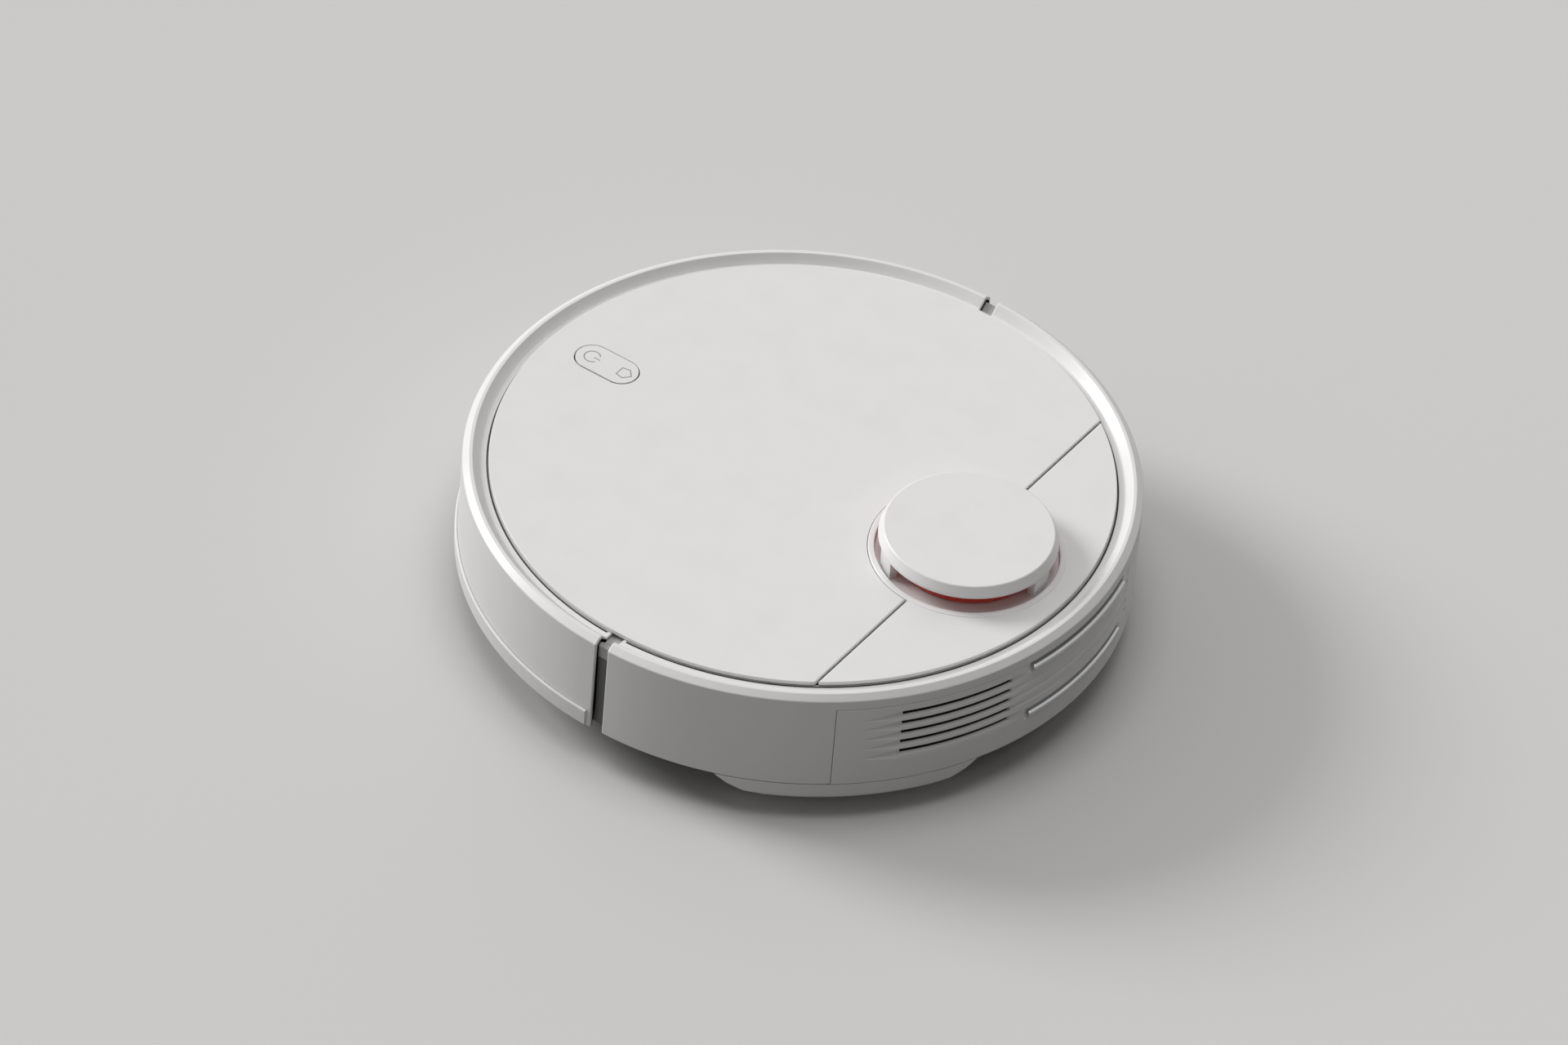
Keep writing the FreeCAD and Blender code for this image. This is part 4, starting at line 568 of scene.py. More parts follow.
strip_points, strip_faces = [], []
for row in range(3):
    points, faces = spiral_strip(row, 1.7 * mm, -0.3 * mm)
    strip_faces += [tuple(index + len(strip_points) for index in face) for face in faces]
    strip_points += points
roots_mesh = bpy.data.meshes.new("bristle_roots")
roots_mesh.from_pydata(strip_points, [], strip_faces)
probe = bmesh.new()
probe.from_mesh(roots_mesh)
for face in probe.faces:
    outward = face.calc_center_median() - Vector((brush_middle.x, face.calc_center_median().y, brush_middle.z))
    if face.normal.dot(outward) < 0:
        face.normal_flip()
probe.to_mesh(roots_mesh)
probe.free()
brush_fibre = bristle_fibre("brush_fibre", (0.04, 0.042, 0.05), (0.20, 0.21, 0.23))
bristles = grow("main_brush_bristles_part", bristle_tree, roots_mesh, {
    "Density": 4.6e6, "Length": bristle_tip - core_radius - 0.2 * mm, "Thickness": 0.00013, "Lean": 0.07,
    "Seed": 11, "Finish": brush_fibre})
stands_for(bristles, "main_brush_bristles")

# ---- Side brush ----
# Three-armed grey hub on a square drive shaft, with a splayed tuft of nylon in each arm that sweeps
# dirt in from the front right corner.
eased_copy("side_brush_hub", core_grey, 0.5 * mm, segments=3)
eased_copy("side_brush_gearbox", mid_grey, 0.5 * mm)


def build_tuft_tree():
    """Lay long fibres outwards along +X from a bundle of points, fanned sideways and drooping to the floor."""
    tree, given, made = new_tree("tuft", {"Length": ("Float", 0.034), "Thickness": ("Float", 0.00018),
                                          "Fan": ("Float", 0.05), "Droop": ("Float", 0.16), "Seed": ("Int", 5),
                                          "Finish": ("Material", None)})
    line = add_node(tree, "GeometryNodeCurvePrimitiveLine", {"Start": (0.0, 0.0, 0.0)})
    end = add_node(tree, "ShaderNodeCombineXYZ", {"X": given.outputs["Length"]})
    tree.links.new(end.outputs[0], line.inputs["End"])
    divided = add_node(tree, "GeometryNodeResampleCurve", {"Curve": line.outputs[0], "Count": 7})
    along = add_node(tree, "GeometryNodeSplineParameter").outputs["Factor"]
    squared = add_node(tree, "ShaderNodeMath", {0: along, 1: 2.0}, operation="POWER").outputs[0]
    fall = add_node(tree, "ShaderNodeMath", {0: squared, 1: -0.0022}, operation="MULTIPLY").outputs[0]
    drop = add_node(tree, "ShaderNodeCombineXYZ", {"Z": fall})
    bent = add_node(tree, "GeometryNodeSetPosition", {"Geometry": divided.outputs[0], "Offset": drop.outputs[0]})
    section = add_node(tree, "GeometryNodeCurvePrimitiveCircle", {"Resolution": 4, "Radius": given.outputs["Thickness"]})
    fibre = add_node(tree, "GeometryNodeCurveToMesh", {"Curve": bent.outputs[0],
                                                       "Profile Curve": section.outputs["Curve"]})
    low = add_node(tree, "ShaderNodeCombineXYZ", {"Y": given.outputs["Droop"]})
    minus = add_node(tree, "ShaderNodeMath", {0: given.outputs["Fan"], 1: -1.0}, operation="MULTIPLY").outputs[0]
    tree.links.new(minus, low.inputs["Z"])
    high = add_node(tree, "ShaderNodeCombineXYZ", {"Z": given.outputs["Fan"]})
    tree.links.new(add_node(tree, "ShaderNodeMath", {0: given.outputs["Droop"], 1: 0.035}, operation="ADD").outputs[0],
                   high.inputs["Y"])
    spread = add_node(tree, "FunctionNodeRandomValue", data_type="FLOAT_VECTOR")
    tree.links.new(low.outputs[0], spread.inputs[0])
    tree.links.new(high.outputs[0], spread.inputs[1])
    tree.links.new(given.outputs["Seed"], spread.inputs["Seed"])
    placed = add_node(tree, "GeometryNodeInstanceOnPoints", {"Points": given.outputs["Geometry"],
                                                             "Instance": fibre.outputs["Mesh"]})
    tree.links.new(spread.outputs[0], placed.inputs["Rotation"])
    close_tree(tree, placed.outputs[0], given.outputs["Finish"], made)
    return tree


tuft_tree = build_tuft_tree()
pale_fibre = bristle_fibre("side_fibre", (0.05, 0.05, 0.055), (0.16, 0.16, 0.17))
hub_low, hub_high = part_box("side_brush_hub")
tufts_low, tufts_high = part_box("side_brush_bristles")
tuft_boxes = solids_of("side_brush_bristles")
hub_x, hub_y = 120.0 * mm, -100.0 * mm
tuft_start, tuft_stop = 16.0 * mm, 50.0 * mm
tuft_meshes = []
for number, azimuth in enumerate((-45.0, 75.0, 195.0)):
    bundle = []
    for row in range(3):
        for step in range(9):
            bundle.append((tuft_start - 3.0 * mm, (step - 4) * 0.38 * mm, hub_low.z + (0.9 + 0.75 * row) * mm))
    tuft = grow("tuft", tuft_tree, points_mesh("tuft_roots", bundle), {
        "Length": tuft_stop - tuft_start + 2.6 * mm, "Thickness": 0.00016, "Fan": 0.045, "Droop": 0.13,
        "Seed": 5 + number, "Finish": pale_fibre})
    turn = Matrix.Translation((hub_x, hub_y, 0)) @ Matrix.Rotation(math.radians(azimuth), 4, "Z")
    tuft.data.transform(turn)
    tuft_meshes.append(tuft)
joined = bmesh.new()
for tuft in tuft_meshes:
    joined.from_mesh(tuft.data)
    bpy.data.objects.remove(tuft)
side_mesh = bpy.data.meshes.new("side_brush_bristles_part")
joined.to_mesh(side_mesh)
joined.free()
side_mesh.materials.append(pale_fibre)
side_bristles = bpy.data.objects.new("side_brush_bristles_part", side_mesh)
scene.collection.objects.link(side_bristles)
stands_for(side_bristles, "side_brush_bristles")

# ---- Drive wheels ----
# Each wheel swings on a sprung arm. Black nylon arm with the motor inside, grey hub, and a soft tyre
# with cross lugs that is always a little scuffed and dusty where it touches the floor.
tyre_rubber = moulded_plastic("tyre_rubber", (0.035, 0.035, 0.036), 0.72, grain=0.0003, relief=0.35, dust=0.35)
hub_grey = moulded_plastic("hub_grey", (0.30, 0.30, 0.295), 0.45, dust=0.25)
spring_steel = steel("spring_steel", roughness=0.26, streak=0.0003)
for side in ("left", "right"):
    eased_copy("wheel_arm_" + side, black_nylon, 0.8 * mm, segments=3)
    eased_copy("wheel_hub_" + side, hub_grey, 0.4 * mm)
    eased_copy("tyre_" + side, tyre_rubber, 0.5 * mm)
    for coat in frame["nodes"]["wheel_spring_" + side].material_slots:
        coat.material = spring_steel

# ---- Hinge pins ----
# Four ground steel pins, lightly chamfered: two that the wheel arms swing on, two that the lid tips on.
eased_copy("hinge_pins", steel("pin_steel", roughness=0.22), 0.15 * mm)

# ---- Caster ----
# Swivelling fork in a round cup at the front, a steel axle and a hard two-tone wheel.
caster_grey = moulded_plastic("caster_wheel_grey", (0.42, 0.42, 0.41), 0.4, dust=0.3)
eased_copy("caster_fork", black_nylon, 0.6 * mm, segments=3)
eased_copy("caster_axle", steel("axle_steel", roughness=0.2), 0.2 * mm)
eased_copy("caster_wheel", caster_grey, 0.3 * mm)

# ---- Bumper springs and levers ----
# Two steel springs push the bumper forward; each lever is nudged by the shell and closes a switch.
for coat in frame["nodes"]["bumper_springs"].material_slots:
    coat.material = spring_steel
for side in ("left", "right"):
    eased_copy("bumper_lever_" + side, black_nylon, 0.2 * mm)

# ---- Circuit boards ----
# Green solder mask over glass laminate, fine copper tracks, black chips and tin-plated joints.
def circuit_board(name):
    material, tree, surface = new_material(name)
    place = add_node(tree, "ShaderNodeTexCoord")
    tracks = add_node(tree, "ShaderNodeTexBrick", {
        "Vector": place.outputs["Object"], "Scale": 260.0, "Mortar Size": 0.05, "Color1": (0.0, 0.0, 0.0, 1.0),
        "Color2": (0.0, 0.0, 0.0, 1.0), "Mortar": (1.0, 1.0, 1.0, 1.0)}).outputs[0]
    drift = add_node(tree, "ShaderNodeTexNoise", {"Vector": place.outputs["Object"], "Scale": 60.0}).outputs[0]
    green = blend_colour(tree, drift, (0.012, 0.085, 0.035), (0.02, 0.12, 0.05))
    green = blend_colour(tree, arithmetic(tree, "MULTIPLY", tracks, 0.5), green, (0.05, 0.22, 0.08))
    height = add_node(tree, "ShaderNodeSeparateXYZ", {0: place.outputs["Object"]}).outputs["Z"]
    base = (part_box(name)[0].z + 1.7 * mm)
    raised = add_node(tree, "ShaderNodeMapRange", {"Value": height, "From Min": base, "From Max": base + 0.2 * mm}).outputs[0]
    tree.links.new(blend_colour(tree, raised, green, (0.025, 0.025, 0.027)), surface.inputs["Base Color"])
    surface.inputs["Roughness"].default_value = 0.35
    return material


eased_copy("main_board", circuit_board("main_board"), 0.2 * mm)
eased_copy("button_board", circuit_board("button_board"), 0.2 * mm)

# ---- Laser drive ----
# Fixed plate with a hollow spigot that the head turns on, a small motor, its brass pulley and a belt.
eased_copy("lds_base", charcoal, 0.4 * mm)
eased_copy("lds_motor", motor_steel, 0.4 * mm)
eased_copy("lds_pulley", steel("brass_pulley", colour=(0.62, 0.45, 0.18), roughness=0.25), 0.15 * mm)
eased_copy("lds_belt", blade_rubber, 0.1 * mm)

# ---- Laser head ----
# Turning drum with the laser and camera behind two small lenses. Its cover is a clear orange-red
# plastic with a polished skin; its red is also given a faint painted glow (emission), so it shows as a lit band through
# the turret's windows.
head_red, tree, surface = new_material("head_red")
texture = use_group(tree, moulded_grain, grain_size=0.0007, flow_size=0.012)
touch = use_group(tree, handling, smudge_size=0.01)
red = blend_colour(tree, texture.outputs["Flow"], (0.60, 0.040, 0.007), (0.36, 0.014, 0.004))
tree.links.new(red, surface.inputs["Base Color"])
tree.links.new(arithmetic(tree, "MULTIPLY_ADD", touch.outputs["Smudge"], 0.12, 0.16), surface.inputs["Roughness"])
# Painted glow: the red also feeds emission, so the drum lights itself a little though it holds no lamp.
tree.links.new(red, surface.inputs["Emission Color"])
surface.inputs["Emission Strength"].default_value = 0.10
surface.inputs["Coat Weight"].default_value = 0.6
bump = add_node(tree, "ShaderNodeBump", {"Strength": 0.08, "Distance": 0.00005, "Height": texture.outputs["Height"]})
tree.links.new(bump.outputs[0], surface.inputs["Normal"])
eased_copy("lds_head", head_red, 0.6 * mm, segments=3)
eased_copy("lds_lenses", smoked, 0.5 * mm, segments=3)

# ---- Vent cloth ----
# Woven mesh of blackened stainless wire behind the air outlets, two curved sheets clipped in the tub wall.
def build_weave_tree():
    tree, given, made = new_tree("wire_weave", {"Wire": ("Float", 0.0002), "Finish": ("Material", None)})
    wires = add_node(tree, "GeometryNodeMeshToCurve", {"Mesh": given.outputs["Geometry"]})
    section = add_node(tree, "GeometryNodeCurvePrimitiveCircle", {"Resolution": 4, "Radius": given.outputs["Wire"]})
    cloth = add_node(tree, "GeometryNodeCurveToMesh", {"Curve": wires.outputs[0],
                                                       "Profile Curve": section.outputs["Curve"]})
    close_tree(tree, cloth.outputs[0], given.outputs["Finish"], made)
    return tree


vent_low, vent_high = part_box("vent_mesh")
weave_points, weave_edges = [], []
vent_radius, vent_bottom, vent_top = 165.9 * mm, 38.3 * mm, 71.1 * mm
for side in (1, -1):
    across, up = 56, 28
    base = len(weave_points)
    for i in range(across + 1):
        angle = math.radians(side * 152.2 - 11.3 + 22.6 * i / across)
        for k in range(up + 1):
            height = vent_bottom + (vent_top - vent_bottom) * k / up
            ripple = 0.12 * mm * (1 if (i + k) % 2 else -1)
            radius = vent_radius + ripple
            weave_points.append((radius * math.cos(angle), radius * math.sin(angle), height))
            index = base + i * (up + 1) + k
            if k < up:
                weave_edges.append((index, index + 1))
            if i < across:
                weave_edges.append((index, index + up + 1))
weave_start = bpy.data.meshes.new("weave_lines")
weave_start.from_pydata(weave_points, weave_edges, [])
vent_steel = steel("vent_steel", colour=(0.055, 0.055, 0.056), roughness=0.5)
vent = grow("vent_mesh_part", build_weave_tree(), weave_start, {"Wire": 0.00022, "Finish": vent_steel})
stands_for(vent, "vent_mesh")


# ---- Bumper ----
# Satin white ABS shell, one half of the raised rim. It slides 4 mm back on two springs when it touches
# something. Its end edges are rounded; the wall is a constant thickness with a ledge under the lid.
def rounded(corners, steps=4):
    """Round the corners of an outline given as (across, up, radius)."""
    points = []
    for i, (across, up, radius) in enumerate(corners):
        here = Vector((across, up))
        if radius <= 0:
            points.append(here)
            continue
        before = (Vector(corners[i - 1][:2]) - here).normalized()
        after = (Vector(corners[(i + 1) % len(corners)][:2]) - here).normalized()
        half = before.angle(after) / 2
        centre = here + (before + after).normalized() * (radius / math.sin(half))
        first = here + before * (radius / math.tan(half)) - centre
        last = here + after * (radius / math.tan(half)) - centre
        for k in range(steps + 1):
            spoke = first.lerp(last, k / steps).normalized()
            points.append(centre + spoke * radius)
    return points


def drawn_in(outline, amount):
    """The outline with every side moved inwards by the amount."""
    area = sum(a.x * b.y - b.x * a.y for a, b in zip(outline, outline[1:] + outline[:1]))
    turn = 1 if area > 0 else -1
    result = []
    for i, point in enumerate(outline):
        before = (point - outline[i - 1]).normalized()
        after = (outline[(i + 1) % len(outline)] - point).normalized()
        normal = Vector((-(before.y + after.y), before.x + after.x)).normalized() * turn
        spread = max(0.5, normal.dot(Vector((-after.y, after.x)) * turn))
        result.append(point + normal * (amount / spread))
    return result


def join_rings(rings, closed=False):
    """Skin a row of rings that have the same number of points, and close its two ends."""
    shape = bmesh.new()
    rows = [[shape.verts.new(point) for point in ring] for ring in rings]
    count = len(rows[0])
    for i in range(len(rows) if closed else len(rows) - 1):
        first, second = rows[i], rows[(i + 1) % len(rows)]
        for j in range(count):
            k = (j + 1) % count
            shape.faces.new((first[j], second[j], second[k], first[k]))
    if not closed:
        shape.faces.new(rows[0])
        shape.faces.new(list(reversed(rows[-1])))
    return shape


def ring_at(outline, azimuth, x=0.0, y=0.0):
    angle = math.radians(azimuth)
    return [Vector((x + p.x * math.cos(angle), y + p.x * math.sin(angle), p.y)) for p in outline]


def ring_on_plane(outline, x, side):
    """The outline where it meets the upright plane across the machine at x."""
    return [Vector((x, side * math.sqrt(p.x ** 2 - x ** 2), p.y)) for p in outline]


def half_shell(outline, x_end, inward, ease, step=1.0):
    """Outline swept round one half of the machine, its two flat ends rounded. inward is +1 for the front half."""
    def end_rings(side):
        found = []
        for k in range(5):
            lean = math.radians(22.5 * k)
            x = x_end + inward * ease * (1 - math.cos(lean))
            found.append(ring_on_plane(drawn_in(outline, ease * (1 - math.sin(lean))), x, side))
        return found
    count = round(172 / step)
    middle = 0.0 if inward > 0 else 180.0
    turns = [ring_at(outline, middle + inward * (-86 + 172 * i / count)) for i in range(count + 1)]
    return join_rings(end_rings(-1) + turns + list(reversed(end_rings(1))))


wall_top, wall_low = 79.0, 24.0
taper = (173.6 - 172.7) / (wall_top - wall_low)


def wall_radius(z):
    return 173.6 - (z - wall_low) * taper


def scaled(corners):
    return [tuple(value * mm for value in corner) for corner in corners]


skin_corners = [(173.6, 24.0, 0.9), (172.7, 79.0, 1.1), (169.2, 81.5, 0.9), (167.5, 81.5, 0.35),
                (163.2, 77.2, 0.2), (158.5, 77.2, 0.3), (158.5, 75.6, 0.3), (163.9, 75.6, 0.5),
                (168.0, 79.2, 0.3), (168.5, 79.2, 0.1), (170.5, 77.4, 0.3), (171.4, 24.0, 0.4)]
white = (0.80, 0.795, 0.79)
white_shell = moulded_plastic("white_shell", white, 0.34, grain=0.0006, relief=0.12, dust=0.05, wear=0.35, shade=0.97)
bumper = make_piece("bumper_shell_part", half_shell(rounded(scaled(skin_corners)), 2.5 * mm, 1, 0.8 * mm), white_shell)
stands_for(bumper, "bumper_shell")

# ---- Bumper strip ----
# Softer white band pressed round the foot of the bumper, standing 1.4 mm proud so that it meets
# furniture first. It stops just short of the bumper's ends.
strip_corners = [(173.4, 25.0, 0.0), (175.0, 25.0, 0.7), (175.0, 34.5, 0.8), (173.2, 34.5, 0.0)]
soft_white = moulded_plastic("soft_white_strip", (0.77, 0.765, 0.755), 0.55, grain=0.0004, relief=0.2, dust=0.15,
                             shade=0.95)
strip = make_piece("bumper_strip_part", half_shell(rounded(scaled(strip_corners)), 5.0 * mm, 1, 0.3 * mm), soft_white)
stands_for(strip, "bumper_strip")

# ---- Rear shell ----
# The other half of the rim and side wall, the same satin white. The panel with the air outlets drops
# into a window in its back, so here the wall stops above the panel.
panel_start, panel_top = 130.9, 73.7


def rear_shell_shape():
    corners = scaled(skin_corners)
    line_out = (wall_radius(panel_top) * mm, panel_top * mm, 0.0)
    line_in = ((wall_radius(panel_top) - 2.2) * mm, panel_top * mm, 0.0)
    full = rounded(corners[:1] + [line_out] + corners[1:11] + [line_in] + corners[11:])
    top = panel_top * mm
    short = [p if p.y >= top else Vector((p.x - (top - p.y) * taper, top)) for p in full]
    x_end, ease = -4.5 * mm, 0.8 * mm

    def end_rings(side):
        found = []
        for k in range(5):
            lean = math.radians(22.5 * k)
            x = x_end - ease * (1 - math.cos(lean))
            found.append(ring_on_plane(drawn_in(full, ease * (1 - math.sin(lean))), x, side))
        return found
    rings = end_rings(1)
    steps = 36
    rings += [ring_at(full, 94.0 + (panel_start - 94.0) * i / steps) for i in range(steps + 1)]
    span = 360 - 2 * panel_start
    rings += [ring_at(short, panel_start + span * i / 98) for i in range(99)]
    rings += [ring_at(full, 360 - panel_start + (panel_start - 94.0) * i / steps) for i in range(steps + 1)]
    rings += list(reversed(end_rings(-1)))
    return join_rings(rings)


stands_for(make_piece("rear_shell_part", rear_shell_shape(), white_shell), "rear_shell")

# ---- Ledge shade strips ----
# Thin dark strips laid on the ledge under the edge of the lid, one on the bumper and one on the rear
# shell: painted shade, standing for the shadow in the gap, which shows as the fine dark line round the lid.
def ledge_strip(start, stop):
    section = rounded(scaled([(159.5, 77.15, 0), (160.45, 77.15, 0), (160.45, 77.42, 0.12), (159.5, 77.42, 0.12)]), 2)
    count = round(stop - start)
    return join_rings([ring_at(section, start + (stop - start) * i / count) for i in range(count + 1)])


# Painted shade: a near-black finish for the strips that stand in for the shadow under the lid's edge.
painted_gap_shade = moulded_plastic("painted_gap_shade", (0.035, 0.035, 0.036), 0.92, grain=0.0004, relief=0.9, dust=0.15, wear=0.1)
for label, side_body, slot_name, start, stop in (("front", "bumper", "bumper_strip", -88.2, 88.2),
                                                 ("rear", "chassis", "vent_mesh", 92.4, 267.6)):
    gap_shade_strip = make_piece("ledge_seal_" + label, ledge_strip(start, stop), painted_gap_shade)
    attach(gap_shade_strip, side_body)

# ---- Rear panel ----
# Separate white moulding with the air outlets: five slots each side between rounded blades, running out
# into tapered grooves, and two long pockets that hold the charging contacts. It snaps into the shell.
first_slot, slot_pitch, slots = 67.8, 6.3, 5
slot_top, slot_low, blade_low = 1.5, -1.7, -4.6
slot_az = (142.0, 162.5)
wedge_tip, wedge_depth = 135.2, 2.9
tail_end, tail_depth = 165.0, 1.9
contact_z, contact_half, contact_az = (70.4, 39.0), 2.0, 166.3


def panel_rows():
    """Heights of the mesh rows: (height, louvre number or None, share of the way down the groove, slot row)."""
    rows = []
    shares = (0.0, 0.02, 0.12, 0.25, 0.4, 0.5246, 0.56, 0.62, 0.7, 0.8, 0.9, 1.0)
    for i in range(slots):
        centre = first_slot - i * slot_pitch
        top, low = centre + slot_top, centre + blade_low
        rows += [(top - share * (top - low), i, share) for share in shares]
    last = rows[-1][0]
    lines = [73.4, 73.3, 73.1, 72.8, 72.4, 71.9, 71.4, 70.4, 69.7]
    lines += [last - step for step in (0.4, 0.9, 1.6, 2.4, 3.2, 4.0, 5.0, 7.0, 9.0, 11.0, 13.0)]
    lines += [24.9, 24.5, 24.2, 24.0]
    rows += [(z, None, 0.0) for z in lines]
    return sorted(rows, key=lambda row: -row[0])


def panel_columns():
    """Azimuths of the mesh columns from the left edge of the panel to the middle of the back."""
    def between(start, stop, count):
        return [start + (stop - start) * i / count for i in range(count)]
    columns = [131.0, 131.05, 131.15, 131.4, 132.0, 133.0, 134.0, 134.8]
    columns += between(wedge_tip, slot_az[0], 20) + between(slot_az[0], slot_az[1], 22)
    columns += between(slot_az[1], tail_end, 10) + between(tail_end, 169.0, 24) + between(169.0, 180.0, 12)
    return columns


def smooth_step(low, high, value):
    share = min(1.0, max(0.0, (value - low) / (high - low)))
    return share * share * (3 - 2 * share)


def row_height(row, az):
    """Rows follow the groove edges: they close up towards the tip of the wedge left of the slots."""
    z, louvre, share = row
    if az >= slot_az[0]:
        return z
    pull = 1 - max(0.0, (az - wedge_tip) / (slot_az[0] - wedge_tip))
    top_tip = first_slot - 2.6

    def tip_of(number):
        return top_tip - number * slot_pitch
    squeeze = 0.05
    if louvre is not None:
        gathered = tip_of(louvre) + (z - tip_of(louvre)) * squeeze
    else:
        gathered = z
        highest = first_slot + slot_top
        lowest = first_slot - (slots - 1) * slot_pitch + blade_low
        if z > highest:
            level = tip_of(0) + (highest - tip_of(0)) * squeeze
            gathered = 73.4 - (73.4 - z) * (73.4 - level) / (73.4 - highest)
        elif z < lowest:
            level = tip_of(slots - 1) + (lowest - tip_of(slots - 1)) * squeeze
            gathered = 24.0 + (z - 24.0) * (level - 24.0) / (lowest - 24.0)
    return z + (gathered - z) * pull


def panel_depth(row, az):
    """How far the panel's face lies behind the plain side wall, in millimetres."""
    z, louvre, share = row
    depth = 0.0
    if louvre is not None:
        ramp = 0.0
        if wedge_tip < az < slot_az[0]:
            ramp = wedge_depth * (az - wedge_tip) / (slot_az[0] - wedge_tip)
        elif slot_az[1] < az < tail_end:
            ramp = tail_depth * (tail_end - az) / (tail_end - slot_az[1])
        if ramp and share > 0:
            depth = ramp * (1 - share)
        if slot_az[0] <= az <= slot_az[1]:
            below = max(0.0, share - 0.5246) * (slot_top - blade_low)
            depth = 1.5 * math.exp(-below / 0.75) if share >= 0.5246 else 0.0
            if share == 1.0:
                depth = 0.12
    if az > slot_az[1]:
        for number, strength in ((1, 0.9), (2, 0.9), (3, 0.7)):
            centre = first_slot - number * slot_pitch - 1.0
            start = smooth_step(slot_az[1], tail_end, az)
            fade = start if number < 3 else start * (1 - smooth_step(172.0, 178.0, az))
            depth += strength * fade * math.exp(-((z - centre) / 0.8) ** 2)
    for centre in contact_z:
        along = max(0.0, (contact_az + 0.4 - az)) * math.radians(173.0)
        away = math.hypot(along, max(0.0, abs(z - centre) - 0.4)) - 2.75
        depth = max(depth, 1.2 * smooth_step(0.35, -0.45, away))
    edge = min(z - 24.0, 73.4 - z, (az - 131.0) * 3.0)
    if edge < 0.4:
        depth += 0.4 - math.sqrt(max(0.0, 0.16 - (0.4 - edge) ** 2))
    return depth


def rear_panel_shape():
    shape = bmesh.new()
    rows = panel_rows()
    half = panel_columns()
    columns = half + [180.0] + [360.0 - az for az in reversed(half)]
    outer, inner = [], []
    for row in rows:
        outer_row, inner_row = [], []
        for column in columns:
            az = min(column, 360.0 - column)
            z = row_height(row, az)
            angle = math.radians(column)
            radius = wall_radius(z) - panel_depth(row, az)
            outer_row.append(shape.verts.new(Vector((radius * math.cos(angle), radius * math.sin(angle), z)) * mm))
            lift = -1.7 * smooth_step(24.0, 34.0, z) * (1 - smooth_step(72.0, 73.4, z))
            back = min(wall_radius(z) - 2.2, radius - 0.9)
            inner_row.append(shape.verts.new(Vector((back * math.cos(angle), back * math.sin(angle), z + lift)) * mm))
        outer.append(outer_row)
        inner.append(inner_row)

    def is_open(i, k):
        if rows[i][1] is None or rows[i + 1][1] != rows[i][1]:
            return False
        az = [min(columns[c], 360.0 - columns[c]) for c in (k, k + 1)]
        return rows[i + 1][2] <= 0.525 and min(az) >= slot_az[0] and max(az) <= slot_az[1]
    solid = {}
    for i in range(len(rows) - 1):
        for k in range(len(columns) - 1):
            solid[i, k] = not is_open(i, k)
            if solid[i, k]:
                shape.faces.new((outer[i][k], outer[i + 1][k], outer[i + 1][k + 1], outer[i][k + 1]))
                shape.faces.new((inner[i][k], inner[i][k + 1], inner[i + 1][k + 1], inner[i + 1][k]))
    for (i, k), filled in solid.items():
        if not filled:
            continue
        sides = (((i - 1, k), (i, k), (i, k + 1)), ((i + 1, k), (i + 1, k + 1), (i + 1, k)),
                 ((i, k - 1), (i + 1, k), (i, k)), ((i, k + 1), (i, k + 1), (i + 1, k + 1)))
        for beside, start, stop in sides:
            if not solid.get(beside, False):
                corners = (outer[start[0]][start[1]], outer[stop[0]][stop[1]], inner[stop[0]][stop[1]],
                           inner[start[0]][start[1]])
                shape.faces.new(corners)
    return shape


panel = make_piece("rear_panel_part", rear_panel_shape(), white_shell)
panel.data.set_sharp_from_angle(angle=math.radians(38))
stands_for(panel, "rear_panel")

# ---- Charging contacts ----
# Two long bars of polished stainless steel, bent to the curve of the back, that touch the dock. Fine
# brush lines run along them.
contact_shapes = bmesh.new()
for middle in contact_z:
    bar = rounded(scaled([(170.6, middle - 1.8, 0.2), (175.0, middle - 1.8, 1.3), (175.0, middle + 1.8, 1.3),
                          (170.6, middle + 1.8, 0.2)]))
    sweep = 360 - 2 * (contact_az + 0.2)
    tips = []
    for k in range(5):
        lean = math.radians(22.5 * k)
        tips.append((contact_az + 0.2 + 0.3 * (1 - math.cos(lean)), drawn_in(bar, 1.0 * mm * (1 - math.sin(lean)))))
    rings = [ring_at(outline, az) for az, outline in tips]
    rings += [ring_at(bar, 167.0 + 26.0 * i / 40) for i in range(41)]
    rings += [ring_at(outline, 360 - az) for az, outline in reversed(tips)]
    one = join_rings(rings)
    holder = bpy.data.meshes.new("contact")
    one.to_mesh(holder)
    one.free()
    contact_shapes.from_mesh(holder)
    bpy.data.meshes.remove(holder)


contact_steel = steel("contact_steel", colour=(0.50, 0.505, 0.515), round_axis="Z", roughness=0.16)
stands_for(make_piece("charging_contacts_part", contact_shapes, contact_steel), "charging_contacts")

# ---- Dust bin ----
# Smoke-tinted clear polycarbonate box that lifts out under the lid, with a white cover and finger grip,
# a pleated paper filter in a frame at the back and a soft flap that closes the inlet.
smoke_clear, tree, surface = new_material("smoke_clear")
touch = use_group(tree, handling, smudge_size=0.02)
tree.links.new(blend_colour(tree, touch.outputs["Smudge"], (0.36, 0.37, 0.39), (0.30, 0.31, 0.33)),
               surface.inputs["Base Color"])
tree.links.new(arithmetic(tree, "MULTIPLY_ADD", touch.outputs["Smudge"], 0.15, 0.12), surface.inputs["Roughness"])
surface.inputs["Transmission Weight"].default_value = 0.8
surface.inputs["IOR"].default_value = 1.35
eased_copy("bin_shell", smoke_clear, 0.8 * mm, segments=3)
inner_white = moulded_plastic("inner_white", (0.72, 0.715, 0.705), 0.45, dust=0.2, shade=0.95)
eased_copy("bin_cover", inner_white, 0.9 * mm, segments=3)
filter_paper = moulded_plastic("filter_paper", (0.62, 0.60, 0.55), 0.85, grain=0.0008, relief=0.7, dust=0.5)
eased_copy("bin_filter", filter_paper, 0.15 * mm)
eased_copy("bin_flap", blade_rubber, 0.3 * mm)

